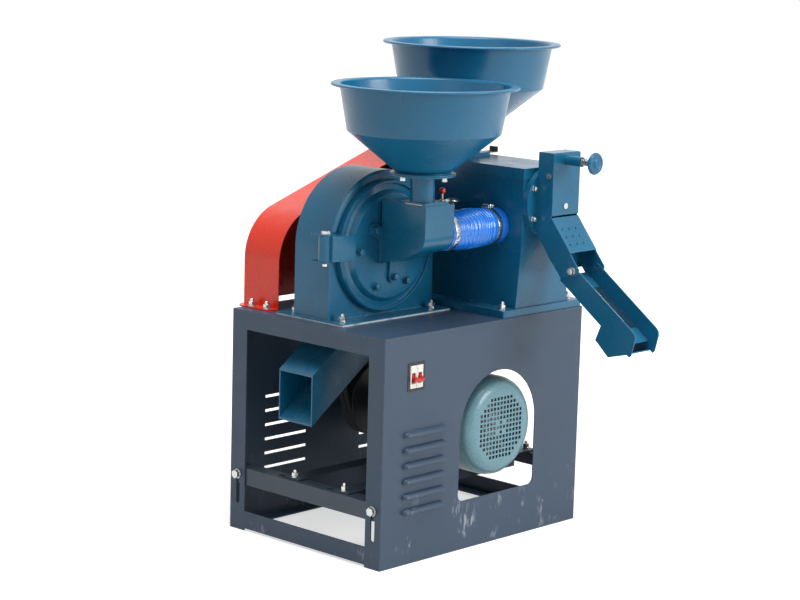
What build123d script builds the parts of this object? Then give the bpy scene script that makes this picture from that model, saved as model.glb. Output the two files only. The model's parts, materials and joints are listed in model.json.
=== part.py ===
from build123d import *
import os
from math import atan2, cos, degrees, hypot, pi, radians, sin, sqrt, tan

os.makedirs("parts", exist_ok=True)

# A combined rice huller and crusher on a sheet steel cabinet. While it is drawn, X runs along the
# long louvred panel, Y from that panel to the back and Z up, from the cabinet's near left foot.

# Clearances, in millimetres
RUN = 0.05          # shaft in its bearing, each side
FREE = 0.4          # between bodies that move past each other
HOLE = 0.5          # bolt in its hole, each side

# Cabinet
CAB_W = 594.0
CAB_D = 431.0
CAB_H = 460.0
PANEL_T = 2.0
TOP_T = 3.0
POST_W = 40.0
POST_T = 3.0
TOP_RAIL_H = 36.0
FOOT_GAP = 5.0
SILL_H = 36.0
SILL_LEG = 30.0
SLOT_EDGE = 22.0
SLOT_W = 11.0
SLOT_BOTTOM = 55.0
SLOT_TOP = 125.0
ARCH_X = 222.0
ARCH_W = 231.0
ARCH_SILL = 101.0
ARCH_SPRING = 241.5
ARCH_CORNER = 15.0
LOUVRE_X = 56.5
LOUVRE_L = 122.5
LOUVRE_Z = 104.0
LOUVRE_PITCH = 31.0
LOUVRE_N = 6
LOUVRE_R = 11.0
LOUVRE_T = 1.5
BACK_SLIT_L = 120.0
BACK_SLIT_H = 6.0
BACK_SLIT_COLUMNS = (93.0, 374.0)
BACK_SLIT_Z = 107.5
BACK_SLIT_PITCH = 30.3

# Circuit breaker, two poles
BREAKER_X = 89.0
BREAKER_Z = CAB_H - 83.5
BREAKER_W = 36.0
BREAKER_H = 45.0
BREAKER_DEPTH = 60.0
BREAKER_RIM = 6.0
BREAKER_PROUD = 3.0
TOGGLE_R = 9.0
TOGGLE_LEVER = 9.0

# Motor carriage, which slides in the posts' slots
CARRIAGE_Z = 131.0
CROSS_LEG = 35.0
CARRIAGE_BOLT_DROP = 14.0
CROSS_T = 4.0
RAIL_LEG = 40.0
RAIL_T = 4.0
RAIL_Y = (121.0, 261.0)
RAIL_INSET = 12.0

# Motor, 100 mm centre height
MOTOR_X = 352.0
MOTOR_CENTRE_H = 100.0
MOTOR_Y = 4.5
FAN_COVER_R = 102.5
FAN_COVER_L = 78.0
FAN_COVER_T = 2.0
FAN_COVER_FACE_R = 80.0
FAN_HOLE = 6.5
FAN_PITCH = 10.0
FAN_GRILLE_R = 69.0
MOTOR_R = 86.0
MOTOR_BODY_L = 196.0
FIN_H = 12.0
FIN_T = 3.0
FIN_N = 22
SHIELD_L = 42.0
SHIELD_HUB_R = 45.0
MOTOR_FOOT_X = 80.0
FOOT_T = 12.0
MOTOR_SHAFT_R = 14.0
MOTOR_SHAFT_L = 67.0
FAN_R = 78.0
FAN_BLADES = 7
BOX_W = 92.0
BOX_H = 58.0

# Belts and pulleys
BELT_TOP = 13.0
BELT_DEPTH = 8.0
BELT_ANGLE = 20.0
GROOVE_PITCH = 15.0
GROOVES = 2
CRUSHER_BELT_Y = 368.0
MILL_BELT_Y = 404.0
MOTOR_BIG_R = 80.0
MOTOR_SMALL_R = 36.0
CRUSHER_PULLEY_R = 46.0
MILL_PULLEY_R = 76.0

# Crusher
CR_X = 181.5
CR_Z = CAB_H + 144.0
CR_R = 151.5
CR_Y = 188.0
CR_DEPTH = 96.0
CR_RIM_T = 6.0
CR_FRONT_T = 6.0
CR_REAR_T = 8.0
CR_MOUTH_R = 121.0
CR_BASE_T = 4.5
CR_BASE_W = 318.0
CR_BASE_FLANGE = 48.0
CR_BOLT_DX = 129.0
CR_BOLT_DY = 67.0
SCREEN_R = 110.0
SCREEN_T = 2.0
SCREEN_HOLES = 9
CR_SHAFT_R = 12.5
CR_BEARING_R = 26.0
CR_BEARING_L = 15.0
CR_HUB_R = 37.0
CR_HUB_L = 56.0
CR_DISC_R = 100.0
CR_DISC_T = 8.0
CLAW = 10.0
CLAW_ROWS = ((92.0, 10), (52.0, 6))
STATOR_ROW_R = 72.0
STATOR_ROW_N = 8

# Crusher door, hinged on the left
DOOR_R = 134.0
DOOR_FLANGE = 14.5
DOOR_RAISED_R = 106.0
DOOR_RAISED = 6.5
DOOR_BEAD_R = 124.0
DOOR_SPIGOT_R = 118.0
DOOR_SPIGOT = 3.0
DOOR_BOLT_PCD = 88.0
DOOR_BOLTS = 6
HINGE_X = 15.0
HINGE_Y = 184.0
HINGE_R = 14.0
HINGE_PIN_R = 5.0
EAR_T = 3.5
EAR_LOW = CAB_H + 126.0
EAR_HIGH = CAB_H + 177.0
LUG_END_X = 78.0
LATCH_X = 352.0
LATCH_Y = 158.0
LATCH_R = 11.0
LATCH_SCREW_R = 5.0
LATCH_KNOB_R = 17.0
LATCH_KNOB_Z = CAB_H + 220.0
LEDGE_Z = CAB_H + 160.0
LEDGE_T = 10.0
LATCH_LUG_H = 22.0

# Feed box and neck on the door
BOX_X0 = 148.0
BOX_X1 = 231.0
BOX_TOP = CAB_H + 238.5
BOX_LOW = CAB_H + 113.5
BOX_ROUND = 36.0
BOX_T = 3.0
FEED_PLATE_T = 6.0
FEED_WINDOW = (158.0, 223.0, 584.0, 634.0)
NECK_R = 24.5
NECK_T = 2.5
HOPPER_FLANGE_R = 65.0
HOPPER_FLANGE_T = 3.0
HOPPER_BOLT_R = 57.0
FRONT_HOPPER_X = 174.0
FRONT_HOPPER_Y = 77.0
HOPPER_RIM_R = 185.5
HOPPER_BAND_TOP_R = 167.5
HOPPER_BAND_LOW_R = 151.0
HOPPER_THROAT_R = 52.0
HOPPER_BAND_H = 93.0
HOPPER_CONE_H = 79.5
HOPPER_T = 2.0
FRONT_HOPPER_LOW = CAB_H + 302.5
REAR_HOPPER_X = 480.0
REAR_HOPPER_Y = 232.0
REAR_HOPPER_LOW = CAB_H + 367.5
GATE_T = 2.5
GATE_TRAVEL = 48.0
GATE_STEM = 18.0
GUIDE_W = 8.0
GATE_KNOB_R = 6.5

# Hose between feed box and mill
HOSE_Y = 78.0
HOSE_Z = CAB_H + 178.0
HOSE_R = 37.0
HOSE_SWELL = 4.0
HOSE_WALL = 2.5
HOSE_RIBS = 12
HOSE_PLAIN = (18.0, 34.0)
SPIGOT_L = 30.0
CLAMP_W = 12.0
CLAMP_T = 1.2

# Discharge chute of the crusher
CHUTE_Y0 = 188.0
CHUTE_W = 95.0
CHUTE_H = 103.0
CHUTE_LOW_Z = CAB_H - 204.0
CHUTE_X = -8.0
CHUTE_SLOPE = 36.0
CHUTE_T = 3.0

# Rice mill
MILL_X = 469.5
MILL_Z = CAB_H + 230.0
MILL_Y = 8.0
MILL_L = 292.0
PLINTH_W = 246.0
PLINTH_H = 15.0
PLINTH_Y = 3.0
PLINTH_D = 317.0
PLINTH_T = 4.0
MILL_FOOT_W = 164.0
MILL_W = 141.0
MILL_SEAM = CAB_H + 132.0
MILL_TOP = CAB_H + 301.0
MILL_T = 4.0
COVER_SKIRT = 22.0
COVER_T = 2.0
MILL_SHAFT_R = 15.0
ROLLER_R = 28.0
SIEVE_R = 34.0
SIEVE_T = 1.5
SIEVE_L = 150.0
BARREL_T = 8.0
MILL_BEARING_R = 31.0
MILL_BEARING_L = 16.0
MILL_HUB_R = 44.0
MILL_HUB_L = 75.0
PLINTH_BOLT_DX = 104.0
PLINTH_BOLT_Y = (24.0, 300.0)

# Outlet box and chute on the mill's front
FLANGE_R = 72.0
FLANGE_T = 14.0
FLANGE_BOLT_R = 62.0
OUTLET_W = 84.0
OUTLET_D = 37.0
OUTLET_TOP = CAB_H + 335.0
OUTLET_LIP = CAB_H + 204.0
OUTLET_T = 2.5
CHUTE_TIP_Y = -120.0
CHUTE_TIP_Z = CAB_H + 108.0
CHUTE_HEEL_Z = CAB_H + 166.0
PIVOT_Y = -104.0
PIVOT_Z = CAB_H + 104.0
PIVOT_R = 4.0
GUARD_PLATE_L = 84.0
BOSS_Z = CAB_H + 319.0
BOSS_R = 10.0
BOSS_L = 39.0
ROD_R = 4.0
KNOB_R = 22.5
KNOB_Y = -122.0
FLAP_R = 31.0
FLAP_T = 4.0
FLAP_PIVOT_Z = CAB_H + 288.0
FLAP_PIVOT_Y = -34.0
BALL_R = 6.0

# Sieve trough
TROUGH_SLOPE = 35.5
TROUGH_L = 194.0
TROUGH_BACK = 14.0
TROUGH_H = 46.0
TROUGH_ABOVE = 8.0
TROUGH_T = 2.0
MESH_START = 30.0
MESH_L = 118.0
MESH_T = 1.0
SPOUT_START = 120.0
SPOUT_L = 84.0
SPOUT_DROP = 37.0

# Belt guard
GUARD_X = 48.5
GUARD_Y0 = 350.0
GUARD_Y1 = 452.0
GUARD_T = 2.0
GUARD_SHOULDER_R = 109.5
GUARD_SHOULDER_H = 96.0
GUARD_TOP_R = 86.0
GUARD_FOOT = 24.0
GUARD_GAP = 6.0

# Fasteners
M8_HEX = 13.0
M8_R = 4.0
M6_HEX = 10.0
M6_R = 3.0
M10_HEX = 16.0
M10_R = 5.0
WASHER_T = 1.5


# Shared shapes
def block(x0, x1, y0, y1, z0, z1):
    middle = Pos((x0 + x1) / 2, (y0 + y1) / 2, (z0 + z1) / 2)
    return middle * Box(x1 - x0, y1 - y0, z1 - z0)


def rod_x(x0, x1, y, z, radius):
    return Pos((x0 + x1) / 2, y, z) * Rot(0, 90, 0) * Cylinder(radius, x1 - x0)


def rod_y(x, y0, y1, z, radius):
    return Pos(x, (y0 + y1) / 2, z) * Rot(90, 0, 0) * Cylinder(radius, y1 - y0)


def rod_z(x, y, z0, z1, radius):
    return Pos(x, y, (z0 + z1) / 2) * Cylinder(radius, z1 - z0)


def plate_xz(outline, y0, y1):
    """Extrudes a closed outline of (x, z) points from y0 to y1."""
    wire = Polyline(*[(x, y0, z) for x, z in outline], close=True)
    return extrude(make_face(wire), amount=y1 - y0, dir=(0, 1, 0))


def plate_yz(outline, x0, x1):
    """Extrudes a closed outline of (y, z) points from x0 to x1."""
    wire = Polyline(*[(x0, y, z) for y, z in outline], close=True)
    return extrude(make_face(wire), amount=x1 - x0, dir=(1, 0, 0))


def turned_y(x, z, profile):
    """Revolves (radius, y) points about the Y direction line through x, z."""
    wire = Polyline(*[(x + r, y, z) for r, y in profile], close=True)
    return revolve(make_face(wire), Axis((x, 0, z), (0, 1, 0)))


def turned_z(x, y, profile):
    """Revolves (radius, z) points about the vertical line through x, y."""
    wire = Polyline(*[(x + r, y, z) for r, z in profile], close=True)
    return revolve(make_face(wire), Axis((x, y, 0), (0, 0, 1)))


def hexagon(across, height):
    return extrude(RegularPolygon(across / sqrt(3), 6), amount=height)


def bolt(place, radius, across, grip, tail=0.0):
    """A hex bolt with its washer, seated at the place, head up, shank going down through the grip."""
    washer = Pos(0, 0, WASHER_T / 2) * Cylinder(across * 0.62, WASHER_T)
    head = Pos(0, 0, WASHER_T) * hexagon(across, across * 0.4)
    shank = Pos(0, 0, -(grip + tail) / 2) * Cylinder(radius, grip + tail)
    piece = washer + head + shank
    if tail > 0:
        piece += Pos(0, 0, -grip - across * 0.45) * hexagon(across, across * 0.45)
    return place * piece


def group(pieces):
    return Compound(children=list(pieces))


UP = Rot(0, 0, 0)
FRONT = Rot(90, 0, 0)       # head towards -Y
LEFT = Rot(0, -90, 0)       # head towards -X
RIGHT = Rot(0, 90, 0)       # head towards +X


# Cabinet
def slot_centres():
    return (SLOT_EDGE, CAB_D - SLOT_EDGE)


def end_frame(x_out, way):
    """Two angle posts with a top and a bottom rail, at the end x_out, with legs going the given way."""
    def span(a, b):
        return sorted((x_out + way * a, x_out + way * b))

    near, far = PANEL_T, CAB_D - PANEL_T
    top = CAB_H - TOP_T
    x0, x1 = span(0, POST_T)
    u0, u1 = span(0, POST_W)
    frame = block(x0, x1, near, near + POST_W, 0, top) + block(x0, x1, far - POST_W, far, 0, top)
    frame += block(u0, u1, near, near + POST_T, 0, top)
    frame += block(u0, u1, far - POST_T, far, 0, top)
    frame += block(x0, x1, near, far, top - TOP_RAIL_H, top)
    frame += block(x0, x1, near, far, FOOT_GAP, FOOT_GAP + SILL_H)
    s0, s1 = span(0, SILL_LEG)
    frame += block(s0, s1, near, far, FOOT_GAP, FOOT_GAP + POST_T)
    for y in slot_centres():
        middle = (SLOT_BOTTOM + SLOT_TOP) / 2
        slot = SlotOverall(SLOT_TOP - SLOT_BOTTOM, SLOT_W)
        cut = Pos(x_out, y, middle) * Rot(0, 90, 0) * extrude(slot, amount=2 * POST_T, both=True)
        frame -= cut
    return frame


def sill(y_face, way):
    """The panel's folded foot: a short shelf that stiffens its lower edge, between the end frames."""
    c, d = sorted((y_face, y_face + way * SILL_LEG))
    return block(POST_W + FREE, CAB_W - POST_W - FREE, c, d, FOOT_GAP, FOOT_GAP + POST_T)


def capsule(x0, x1, radius):
    body = rod_x(x0, x1, 0, 0, radius)
    return body + Pos(x0, 0, 0) * Sphere(radius) + Pos(x1, 0, 0) * Sphere(radius)


def louvre_hood(x0, x1, z, y_face, way):
    """A pressed hood that stands out of the face at y_face, closed above and open below."""
    a, b = x0 + LOUVRE_R, x1 - LOUVRE_R
    shell = capsule(a, b, LOUVRE_R) - capsule(a, b, LOUVRE_R - LOUVRE_T)
    out0, out1 = sorted((0, way * 2 * LOUVRE_R))
    quarter = block(x0 - 1, x1 + 1, out0, out1, 0, 2 * LOUVRE_R)
    return Pos(0, y_face, z) * (shell & quarter)


def front_panel():
    panel = block(0, CAB_W, 0, PANEL_T, 0, CAB_H - TOP_T)
    arch_r = ARCH_W / 2
    arch_mid = ARCH_X + arch_r
    low = Pos(arch_mid, 0, (ARCH_SILL + ARCH_SPRING) / 2)
    gap = low * Box(ARCH_W, 4 * PANEL_T, ARCH_SPRING - ARCH_SILL)
    corners = gap.edges().filter_by(Axis.Y).group_by(Axis.Z)[0]
    gap = fillet(corners, ARCH_CORNER)
    gap += rod_y(arch_mid, -2 * PANEL_T, 2 * PANEL_T, ARCH_SPRING, arch_r)
    panel -= gap
    w, h = BREAKER_W / 2, BREAKER_H / 2
    panel -= block(BREAKER_X - w - FREE, BREAKER_X + w + FREE, -1, PANEL_T + 1,
                   BREAKER_Z - h - FREE, BREAKER_Z + h + FREE)
    for i in range(LOUVRE_N):
        z = LOUVRE_Z + i * LOUVRE_PITCH
        panel -= block(LOUVRE_X + LOUVRE_R, LOUVRE_X + LOUVRE_L - LOUVRE_R, -1, PANEL_T + 1,
                       z, z + LOUVRE_R - LOUVRE_T - 2)
        panel += louvre_hood(LOUVRE_X, LOUVRE_X + LOUVRE_L, z, 0, -1)
    return panel + sill(PANEL_T - 0.5, 1)


def back_panel():
    panel = block(0, CAB_W, CAB_D - PANEL_T, CAB_D, 0, CAB_H - TOP_T)
    for x in BACK_SLIT_COLUMNS:
        for i in range(LOUVRE_N):
            z = BACK_SLIT_Z + i * BACK_SLIT_PITCH
            panel -= block(x, x + BACK_SLIT_L, CAB_D - 2 * PANEL_T, CAB_D + 1, z, z + BACK_SLIT_H)
    return panel + sill(CAB_D - PANEL_T + 0.5, -1)


def chute_mouth_x():
    """Where the discharge chute meets the cabinet's top: its low and high X, inside the walls."""
    rise = tan(radians(CHUTE_SLOPE))
    top_z = CAB_H - TOP_T
    low = CHUTE_X + (top_z - CHUTE_LOW_Z - CHUTE_H) / rise
    high = CHUTE_X + (top_z - CHUTE_LOW_Z) / rise
    return low, high


def cabinet_top():
    top = block(0, CAB_W, 0, CAB_D, CAB_H - TOP_T, CAB_H)
    x0, x1 = chute_mouth_x()
    top -= block(x0 + CHUTE_T, x1 - CHUTE_T, CHUTE_Y0 + CHUTE_T, CHUTE_Y0 + CHUTE_W - CHUTE_T,
                 CAB_H - 2 * TOP_T, CAB_H + 1)
    b0, b1 = belt_slot_x()
    top -= block(b0, b1, GUARD_Y0 - 4, CAB_D - PANEL_T - POST_T - 2, CAB_H - 2 * TOP_T, CAB_H + 1)
    for x, y in crusher_bolts() + mill_bolts() + guard_bolt_places():
        top -= rod_z(x, y, CAB_H - 2 * TOP_T, CAB_H + 1, M8_R + HOLE)
    return top


# Breaker
def breaker_body():
    w, h = BREAKER_W / 2, BREAKER_H / 2
    face = block(BREAKER_X - w, BREAKER_X + w, -BREAKER_PROUD, BREAKER_DEPTH, BREAKER_Z - h, BREAKER_Z + h)
    rim = block(BREAKER_X - w - BREAKER_RIM, BREAKER_X + w + BREAKER_RIM, -1.0, 0,
                BREAKER_Z - h - BREAKER_RIM, BREAKER_Z + h + BREAKER_RIM)
    well = block(BREAKER_X - w + 4, BREAKER_X + w - 4, -BREAKER_PROUD - 1, 12,
                 BREAKER_Z - TOGGLE_R - 6, BREAKER_Z + TOGGLE_R + 6)
    return face + rim - well


def breaker_toggle():
    """Two levers joined by a bar, on one barrel that turns in the breaker's well."""
    half = BREAKER_W / 2 - 4
    barrel = rod_x(BREAKER_X - half + FREE, BREAKER_X + half - FREE, 3.0, BREAKER_Z, TOGGLE_R - 1)
    tip = -BREAKER_PROUD - TOGGLE_LEVER
    bar = block(BREAKER_X - half + 1.5, BREAKER_X + half - 1.5, tip, 0, -4, 4)
    lever = Pos(0, 3.0, BREAKER_Z) * Rot(26, 0, 0) * Pos(0, -3.0, 0) * bar
    return barrel + lever


# Motor carriage
def cross_rails():
    rails = []
    z0, z1 = CARRIAGE_Z - CROSS_LEG, CARRIAGE_Z
    y0, y1 = PANEL_T + POST_T + FREE, CAB_D - PANEL_T - POST_T - FREE
    gap = POST_T + FREE
    for x_out, way in ((0, 1), (CAB_W, -1)):
        a, b = sorted((x_out + way * gap, x_out + way * (gap + CROSS_T)))
        c, d = sorted((x_out + way * gap, x_out + way * (gap + CROSS_LEG)))
        rail = block(a, b, y0, y1, z0, z1) + block(c, d, y0, y1, z1 - CROSS_T, z1)
        middle = (c + d) / 2
        for y in RAIL_Y:
            rail -= rod_z(middle, y, z1 - 2 * CROSS_T, z1 + 1, M8_R + HOLE)
            slot = extrude(SlotOverall(30, 9), amount=2 * CROSS_T, both=True)
            rail -= Pos(middle, y + 32, z1) * Rot(0, 0, 90) * slot
        for y in slot_centres():
            rail -= rod_x(a - 1, b + 1, y, carriage_bolt_z(), M10_R + HOLE)
        rails.append(rail)
    return group(rails)


def carriage_bolt_z():
    return CARRIAGE_Z - CARRIAGE_BOLT_DROP


def rail_end_x():
    """The middle of each cross rail's flange, where the motor rails are bolted."""
    reach = POST_T + FREE + CROSS_LEG / 2
    return reach, CAB_W - reach


def motor_foot_places():
    return [(MOTOR_X + s * MOTOR_FOOT_X, y) for s in (-1, 1) for y in RAIL_Y]


def motor_rails():
    z0 = CARRIAGE_Z
    rails = []
    for y, way in zip(RAIL_Y, (1, -1)):
        a, b = y - RAIL_LEG / 2, y + RAIL_LEG / 2
        edge = b if way > 0 else a
        c, d = sorted((edge, edge - way * RAIL_T))
        x0, x1 = RAIL_INSET, CAB_W - RAIL_INSET
        rail = block(x0, x1, a, b, z0, z0 + RAIL_T)
        clear = POST_T + FREE + CROSS_LEG + FREE
        rail += block(clear, CAB_W - clear, c, d, z0 - RAIL_LEG + RAIL_T, z0 + RAIL_T)
        for x in rail_end_x():
            rail -= rod_z(x, y, z0 - 1, z0 + RAIL_T + 1, M8_R + HOLE)
        for x, fy in motor_foot_places():
            if fy == y:
                rail -= rod_z(x, y, z0 - 1, z0 + RAIL_T + 1, M10_R + HOLE)
        rails.append(rail)
    return group(rails)


def carriage_bolts():
    """The four bolts in the posts' slots, with their square guide shanks, and the bolts of the rails."""
    bolts = []
    for x_out, turn, way in ((0, LEFT, 1), (CAB_W, RIGHT, -1)):
        for y in slot_centres():
            seat = x_out - way * FREE
            grip = POST_T + 2 * FREE + CROSS_T
            place = Pos(seat, y, carriage_bolt_z()) * turn
            bolts.append(bolt(place, M10_R, M10_HEX, grip, tail=8))
    for x in rail_end_x():
        for y in RAIL_Y:
            place = Pos(x, y, CARRIAGE_Z + RAIL_T) * UP
            bolts.append(bolt(place, M8_R, M8_HEX, RAIL_T + CROSS_T, tail=7))
    for x, y in motor_foot_places():
        place = Pos(x, y, CARRIAGE_Z + RAIL_T + FOOT_T) * UP
        bolts.append(bolt(place, M10_R, M10_HEX, FOOT_T + RAIL_T, tail=9))
    return group(bolts)


# Motor
def motor_z():
    return CARRIAGE_Z + RAIL_T + MOTOR_CENTRE_H


def motor_body_y():
    start = MOTOR_Y + FAN_COVER_L - 4
    return start, start + MOTOR_BODY_L


def motor_body():
    y0, y1 = motor_body_y()
    z = motor_z()
    body = rod_y(MOTOR_X, y0, y1, z, MOTOR_R)
    fin_y0, fin_y1 = y0 + 12, y1 - 8
    for i in range(FIN_N):
        angle = 360 / FIN_N * (i + 0.5)
        if 240 < angle < 300 or abs(angle - 180) < 3:
            continue
        fin = block(MOTOR_R - 2, MOTOR_R + FIN_H, fin_y0, fin_y1, -FIN_T / 2, FIN_T / 2)
        body += Pos(MOTOR_X, 0, z) * Rot(0, -angle, 0) * fin
    foot_low = z - MOTOR_CENTRE_H
    for s in (-1, 1):
        x_out = MOTOR_X + s * (MOTOR_FOOT_X + 18)
        a, b = sorted((MOTOR_X + s * 40, x_out))
        body += block(a, b, RAIL_Y[0] - 18, RAIL_Y[1] + 18, foot_low, foot_low + FOOT_T)
        web = [(MOTOR_X + s * 44, foot_low), (MOTOR_X + s * 66, foot_low + FOOT_T),
               (MOTOR_X + s * 62, z - 50),
               (MOTOR_X + s * 20, z - 70)]
        body += plate_xz(web, RAIL_Y[0] - 10, RAIL_Y[0] + 8)
        body += plate_xz(web, RAIL_Y[1] - 8, RAIL_Y[1] + 10)
    body -= rod_y(MOTOR_X, y0 - 1, y1 + 1, z, MOTOR_R - 12)
    for x, y in motor_foot_places():
        body -= rod_z(x, y, foot_low - 1, foot_low + FOOT_T + 1, M10_R + HOLE)
    drive, tail = motor_shields()
    return body + drive + tail


def motor_shields():
    """The two end shields, each a flat bell with a bearing seat in its hub."""
    y0, y1 = motor_body_y()
    bore = MOTOR_SHAFT_R + RUN
    drive = turned_y(MOTOR_X, motor_z(), [
        (bore, y1 - 14), (MOTOR_R - 12, y1 - 14), (MOTOR_R - 12, y1), (MOTOR_R, y1), (MOTOR_R, y1 + 14),
        (SHIELD_HUB_R + 14, y1 + SHIELD_L - 10), (SHIELD_HUB_R, y1 + SHIELD_L - 10),
        (SHIELD_HUB_R, y1 + SHIELD_L), (bore, y1 + SHIELD_L)])
    tail = turned_y(MOTOR_X, motor_z(), [
        (bore, y0 + 14), (MOTOR_R - 12, y0 + 14), (MOTOR_R - 12, y0), (MOTOR_R, y0), (MOTOR_R, y0 - 8),
        (SHIELD_HUB_R, y0 - 16), (bore, y0 - 16)])
    return drive, tail


def fan_cover():
    """A pressed steel bell over the fan, with a round grille of square holes in its face."""
    z = motor_z()
    y0, y1 = MOTOR_Y, MOTOR_Y + FAN_COVER_L
    t = FAN_COVER_T
    shoulder = FAN_COVER_R - FAN_COVER_FACE_R
    outer = turned_y(MOTOR_X, z, [
        (0, y0), (FAN_COVER_FACE_R, y0), (FAN_COVER_FACE_R + shoulder * 0.5, y0 + shoulder * 0.2),
        (FAN_COVER_FACE_R + shoulder * 0.85, y0 + shoulder * 0.62), (FAN_COVER_R, y0 + shoulder * 1.2),
        (FAN_COVER_R, y1), (0, y1)])
    inner = turned_y(MOTOR_X, z, [
        (0, y0 + t), (FAN_COVER_FACE_R - 1, y0 + t),
        (FAN_COVER_FACE_R - 1 + shoulder * 0.5, y0 + t + shoulder * 0.2),
        (FAN_COVER_FACE_R - 1 + shoulder * 0.8, y0 + t + shoulder * 0.62),
        (FAN_COVER_R - t, y0 + t + shoulder * 1.2), (FAN_COVER_R - t, y1 + 1), (0, y1 + 1)])
    cover = outer - inner
    reach = int(FAN_GRILLE_R / FAN_PITCH)
    holes = []
    for i in range(-reach, reach + 1):
        for j in range(-reach, reach + 1):
            if hypot(i, j) * FAN_PITCH <= FAN_GRILLE_R and not abs(i) == abs(j) == 1:
                holes.append(Pos(MOTOR_X + i * FAN_PITCH, y0, z + j * FAN_PITCH)
                             * Box(FAN_HOLE, 4 * t, FAN_HOLE))
    cover = cover.cut(*holes)
    for angle in (0, 120, 240):
        pad = block(MOTOR_R, FAN_COVER_R - t + 0.5, y1 - 4, y1, -8, 8)
        cover += Pos(MOTOR_X, 0, z) * Rot(0, -angle, 0) * pad
    return cover


def motor_shaft():
    y0, y1 = motor_body_y()
    z = motor_z()
    r = MOTOR_SHAFT_R
    shaft = rod_y(MOTOR_X, MOTOR_Y + 22, y1 + SHIELD_L + MOTOR_SHAFT_L, z, r)
    core = rod_y(MOTOR_X, y0 + 40, y1 - 40, z, 48)
    return shaft + core


def motor_fan():
    y0 = MOTOR_Y + 24
    z = motor_z()
    fan = rod_y(MOTOR_X, y0, y0 + 30, z, 24)
    fan += rod_y(MOTOR_X, y0 + 26, y0 + 30, z, FAN_R)
    for i in range(FAN_BLADES):
        blade = block(20, FAN_R, y0 + 2, y0 + 27, -1.5, 1.5)
        fan += Pos(MOTOR_X, 0, z) * Rot(0, 360 / FAN_BLADES * i, 0) * blade
    return fan - rod_y(MOTOR_X, y0 - 1, y0 + 31, z, MOTOR_SHAFT_R)


def terminal_box():
    """The connection box on the motor's left side, with its lid."""
    y0, y1 = motor_body_y()
    y_mid = (y0 + y1) / 2
    z = motor_z()
    half = BOX_W / 2
    x0 = MOTOR_X - MOTOR_R - BOX_H
    box = block(x0 + 8, MOTOR_X - MOTOR_R + 6, y_mid - half, y_mid + half, z - half, z + half)
    box -= rod_y(MOTOR_X, y0, y1, z, MOTOR_R + FIN_H + FREE)
    lid = block(x0, x0 + 8, y_mid - half - 2, y_mid + half + 2, z - half - 2, z + half + 2)
    lid = fillet(lid.edges().filter_by(Axis.X), 8)
    return box + lid


# Pulleys and belts
def groove_ys(y_mid):
    return [y_mid + (i - (GROOVES - 1) / 2) * GROOVE_PITCH for i in range(GROOVES)]


def pulley_width():
    return GROOVES * GROOVE_PITCH + 5


def grooved_rim(x, z, radius, y_mid, bore):
    """A pulley rim with its V grooves, turned as one profile."""
    half = pulley_width() / 2
    top = BELT_TOP / 2 + FREE
    depth = BELT_DEPTH + 2
    low = top - depth * tan(radians(BELT_ANGLE))
    points = [(bore, y_mid - half), (radius, y_mid - half)]
    for y in groove_ys(y_mid):
        points += [(radius, y - top), (radius - depth, y - low), (radius - depth, y + low),
                   (radius, y + top)]
    points += [(radius, y_mid + half), (bore, y_mid + half)]
    return turned_y(x, z, points)


def motor_pulley():
    """A stepped pulley: the large step drives the crusher and the small one the mill."""
    z = motor_z()
    hub_y = motor_body_y()[1] + SHIELD_L + 2
    big = grooved_rim(MOTOR_X, z, MOTOR_BIG_R, CRUSHER_BELT_Y, MOTOR_SHAFT_R)
    small = grooved_rim(MOTOR_X, z, MOTOR_SMALL_R, MILL_BELT_Y, MOTOR_SHAFT_R)
    edge = CRUSHER_BELT_Y + pulley_width() / 2
    near = MILL_BELT_Y - pulley_width() / 2
    join = rod_y(MOTOR_X, edge - 0.5, near + 0.5, z, MOTOR_SMALL_R - 8)
    hub = rod_y(MOTOR_X, hub_y, CRUSHER_BELT_Y, z, 26)
    end = MILL_BELT_Y + pulley_width() / 2
    bore = rod_y(MOTOR_X, hub_y - 1, end - 6, z, MOTOR_SHAFT_R)
    return big + small + join + hub - bore


def small_pulley(x, z, radius, y_mid, shaft_r, hub_y):
    rim = grooved_rim(x, z, radius, y_mid, shaft_r)
    face = y_mid - pulley_width() / 2
    hub = rod_y(x, hub_y, face + 1, z, shaft_r + 9)
    return rim + hub - rod_y(x, hub_y - 1, y_mid + pulley_width(), z, shaft_r)


def tangent_angle(c1, r1, c2, r2):
    dx, dz = c2[0] - c1[0], c2[1] - c1[1]
    return atan2(dz, dx), (r1 - r2) / hypot(dx, dz)


def belt_section(at, outward, y_mid):
    """The trapezoid of a V belt at a point on its outer face; outward is a unit vector in X and Z."""
    top = BELT_TOP / 2
    low = top - BELT_DEPTH * tan(radians(BELT_ANGLE))
    ax, az = at
    bx, bz = ax - outward[0] * BELT_DEPTH, az - outward[1] * BELT_DEPTH
    wire = Polyline((ax, y_mid - top, az), (ax, y_mid + top, az), (bx, y_mid + low, bz),
                    (bx, y_mid - low, bz), close=True)
    return make_face(wire)


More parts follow.
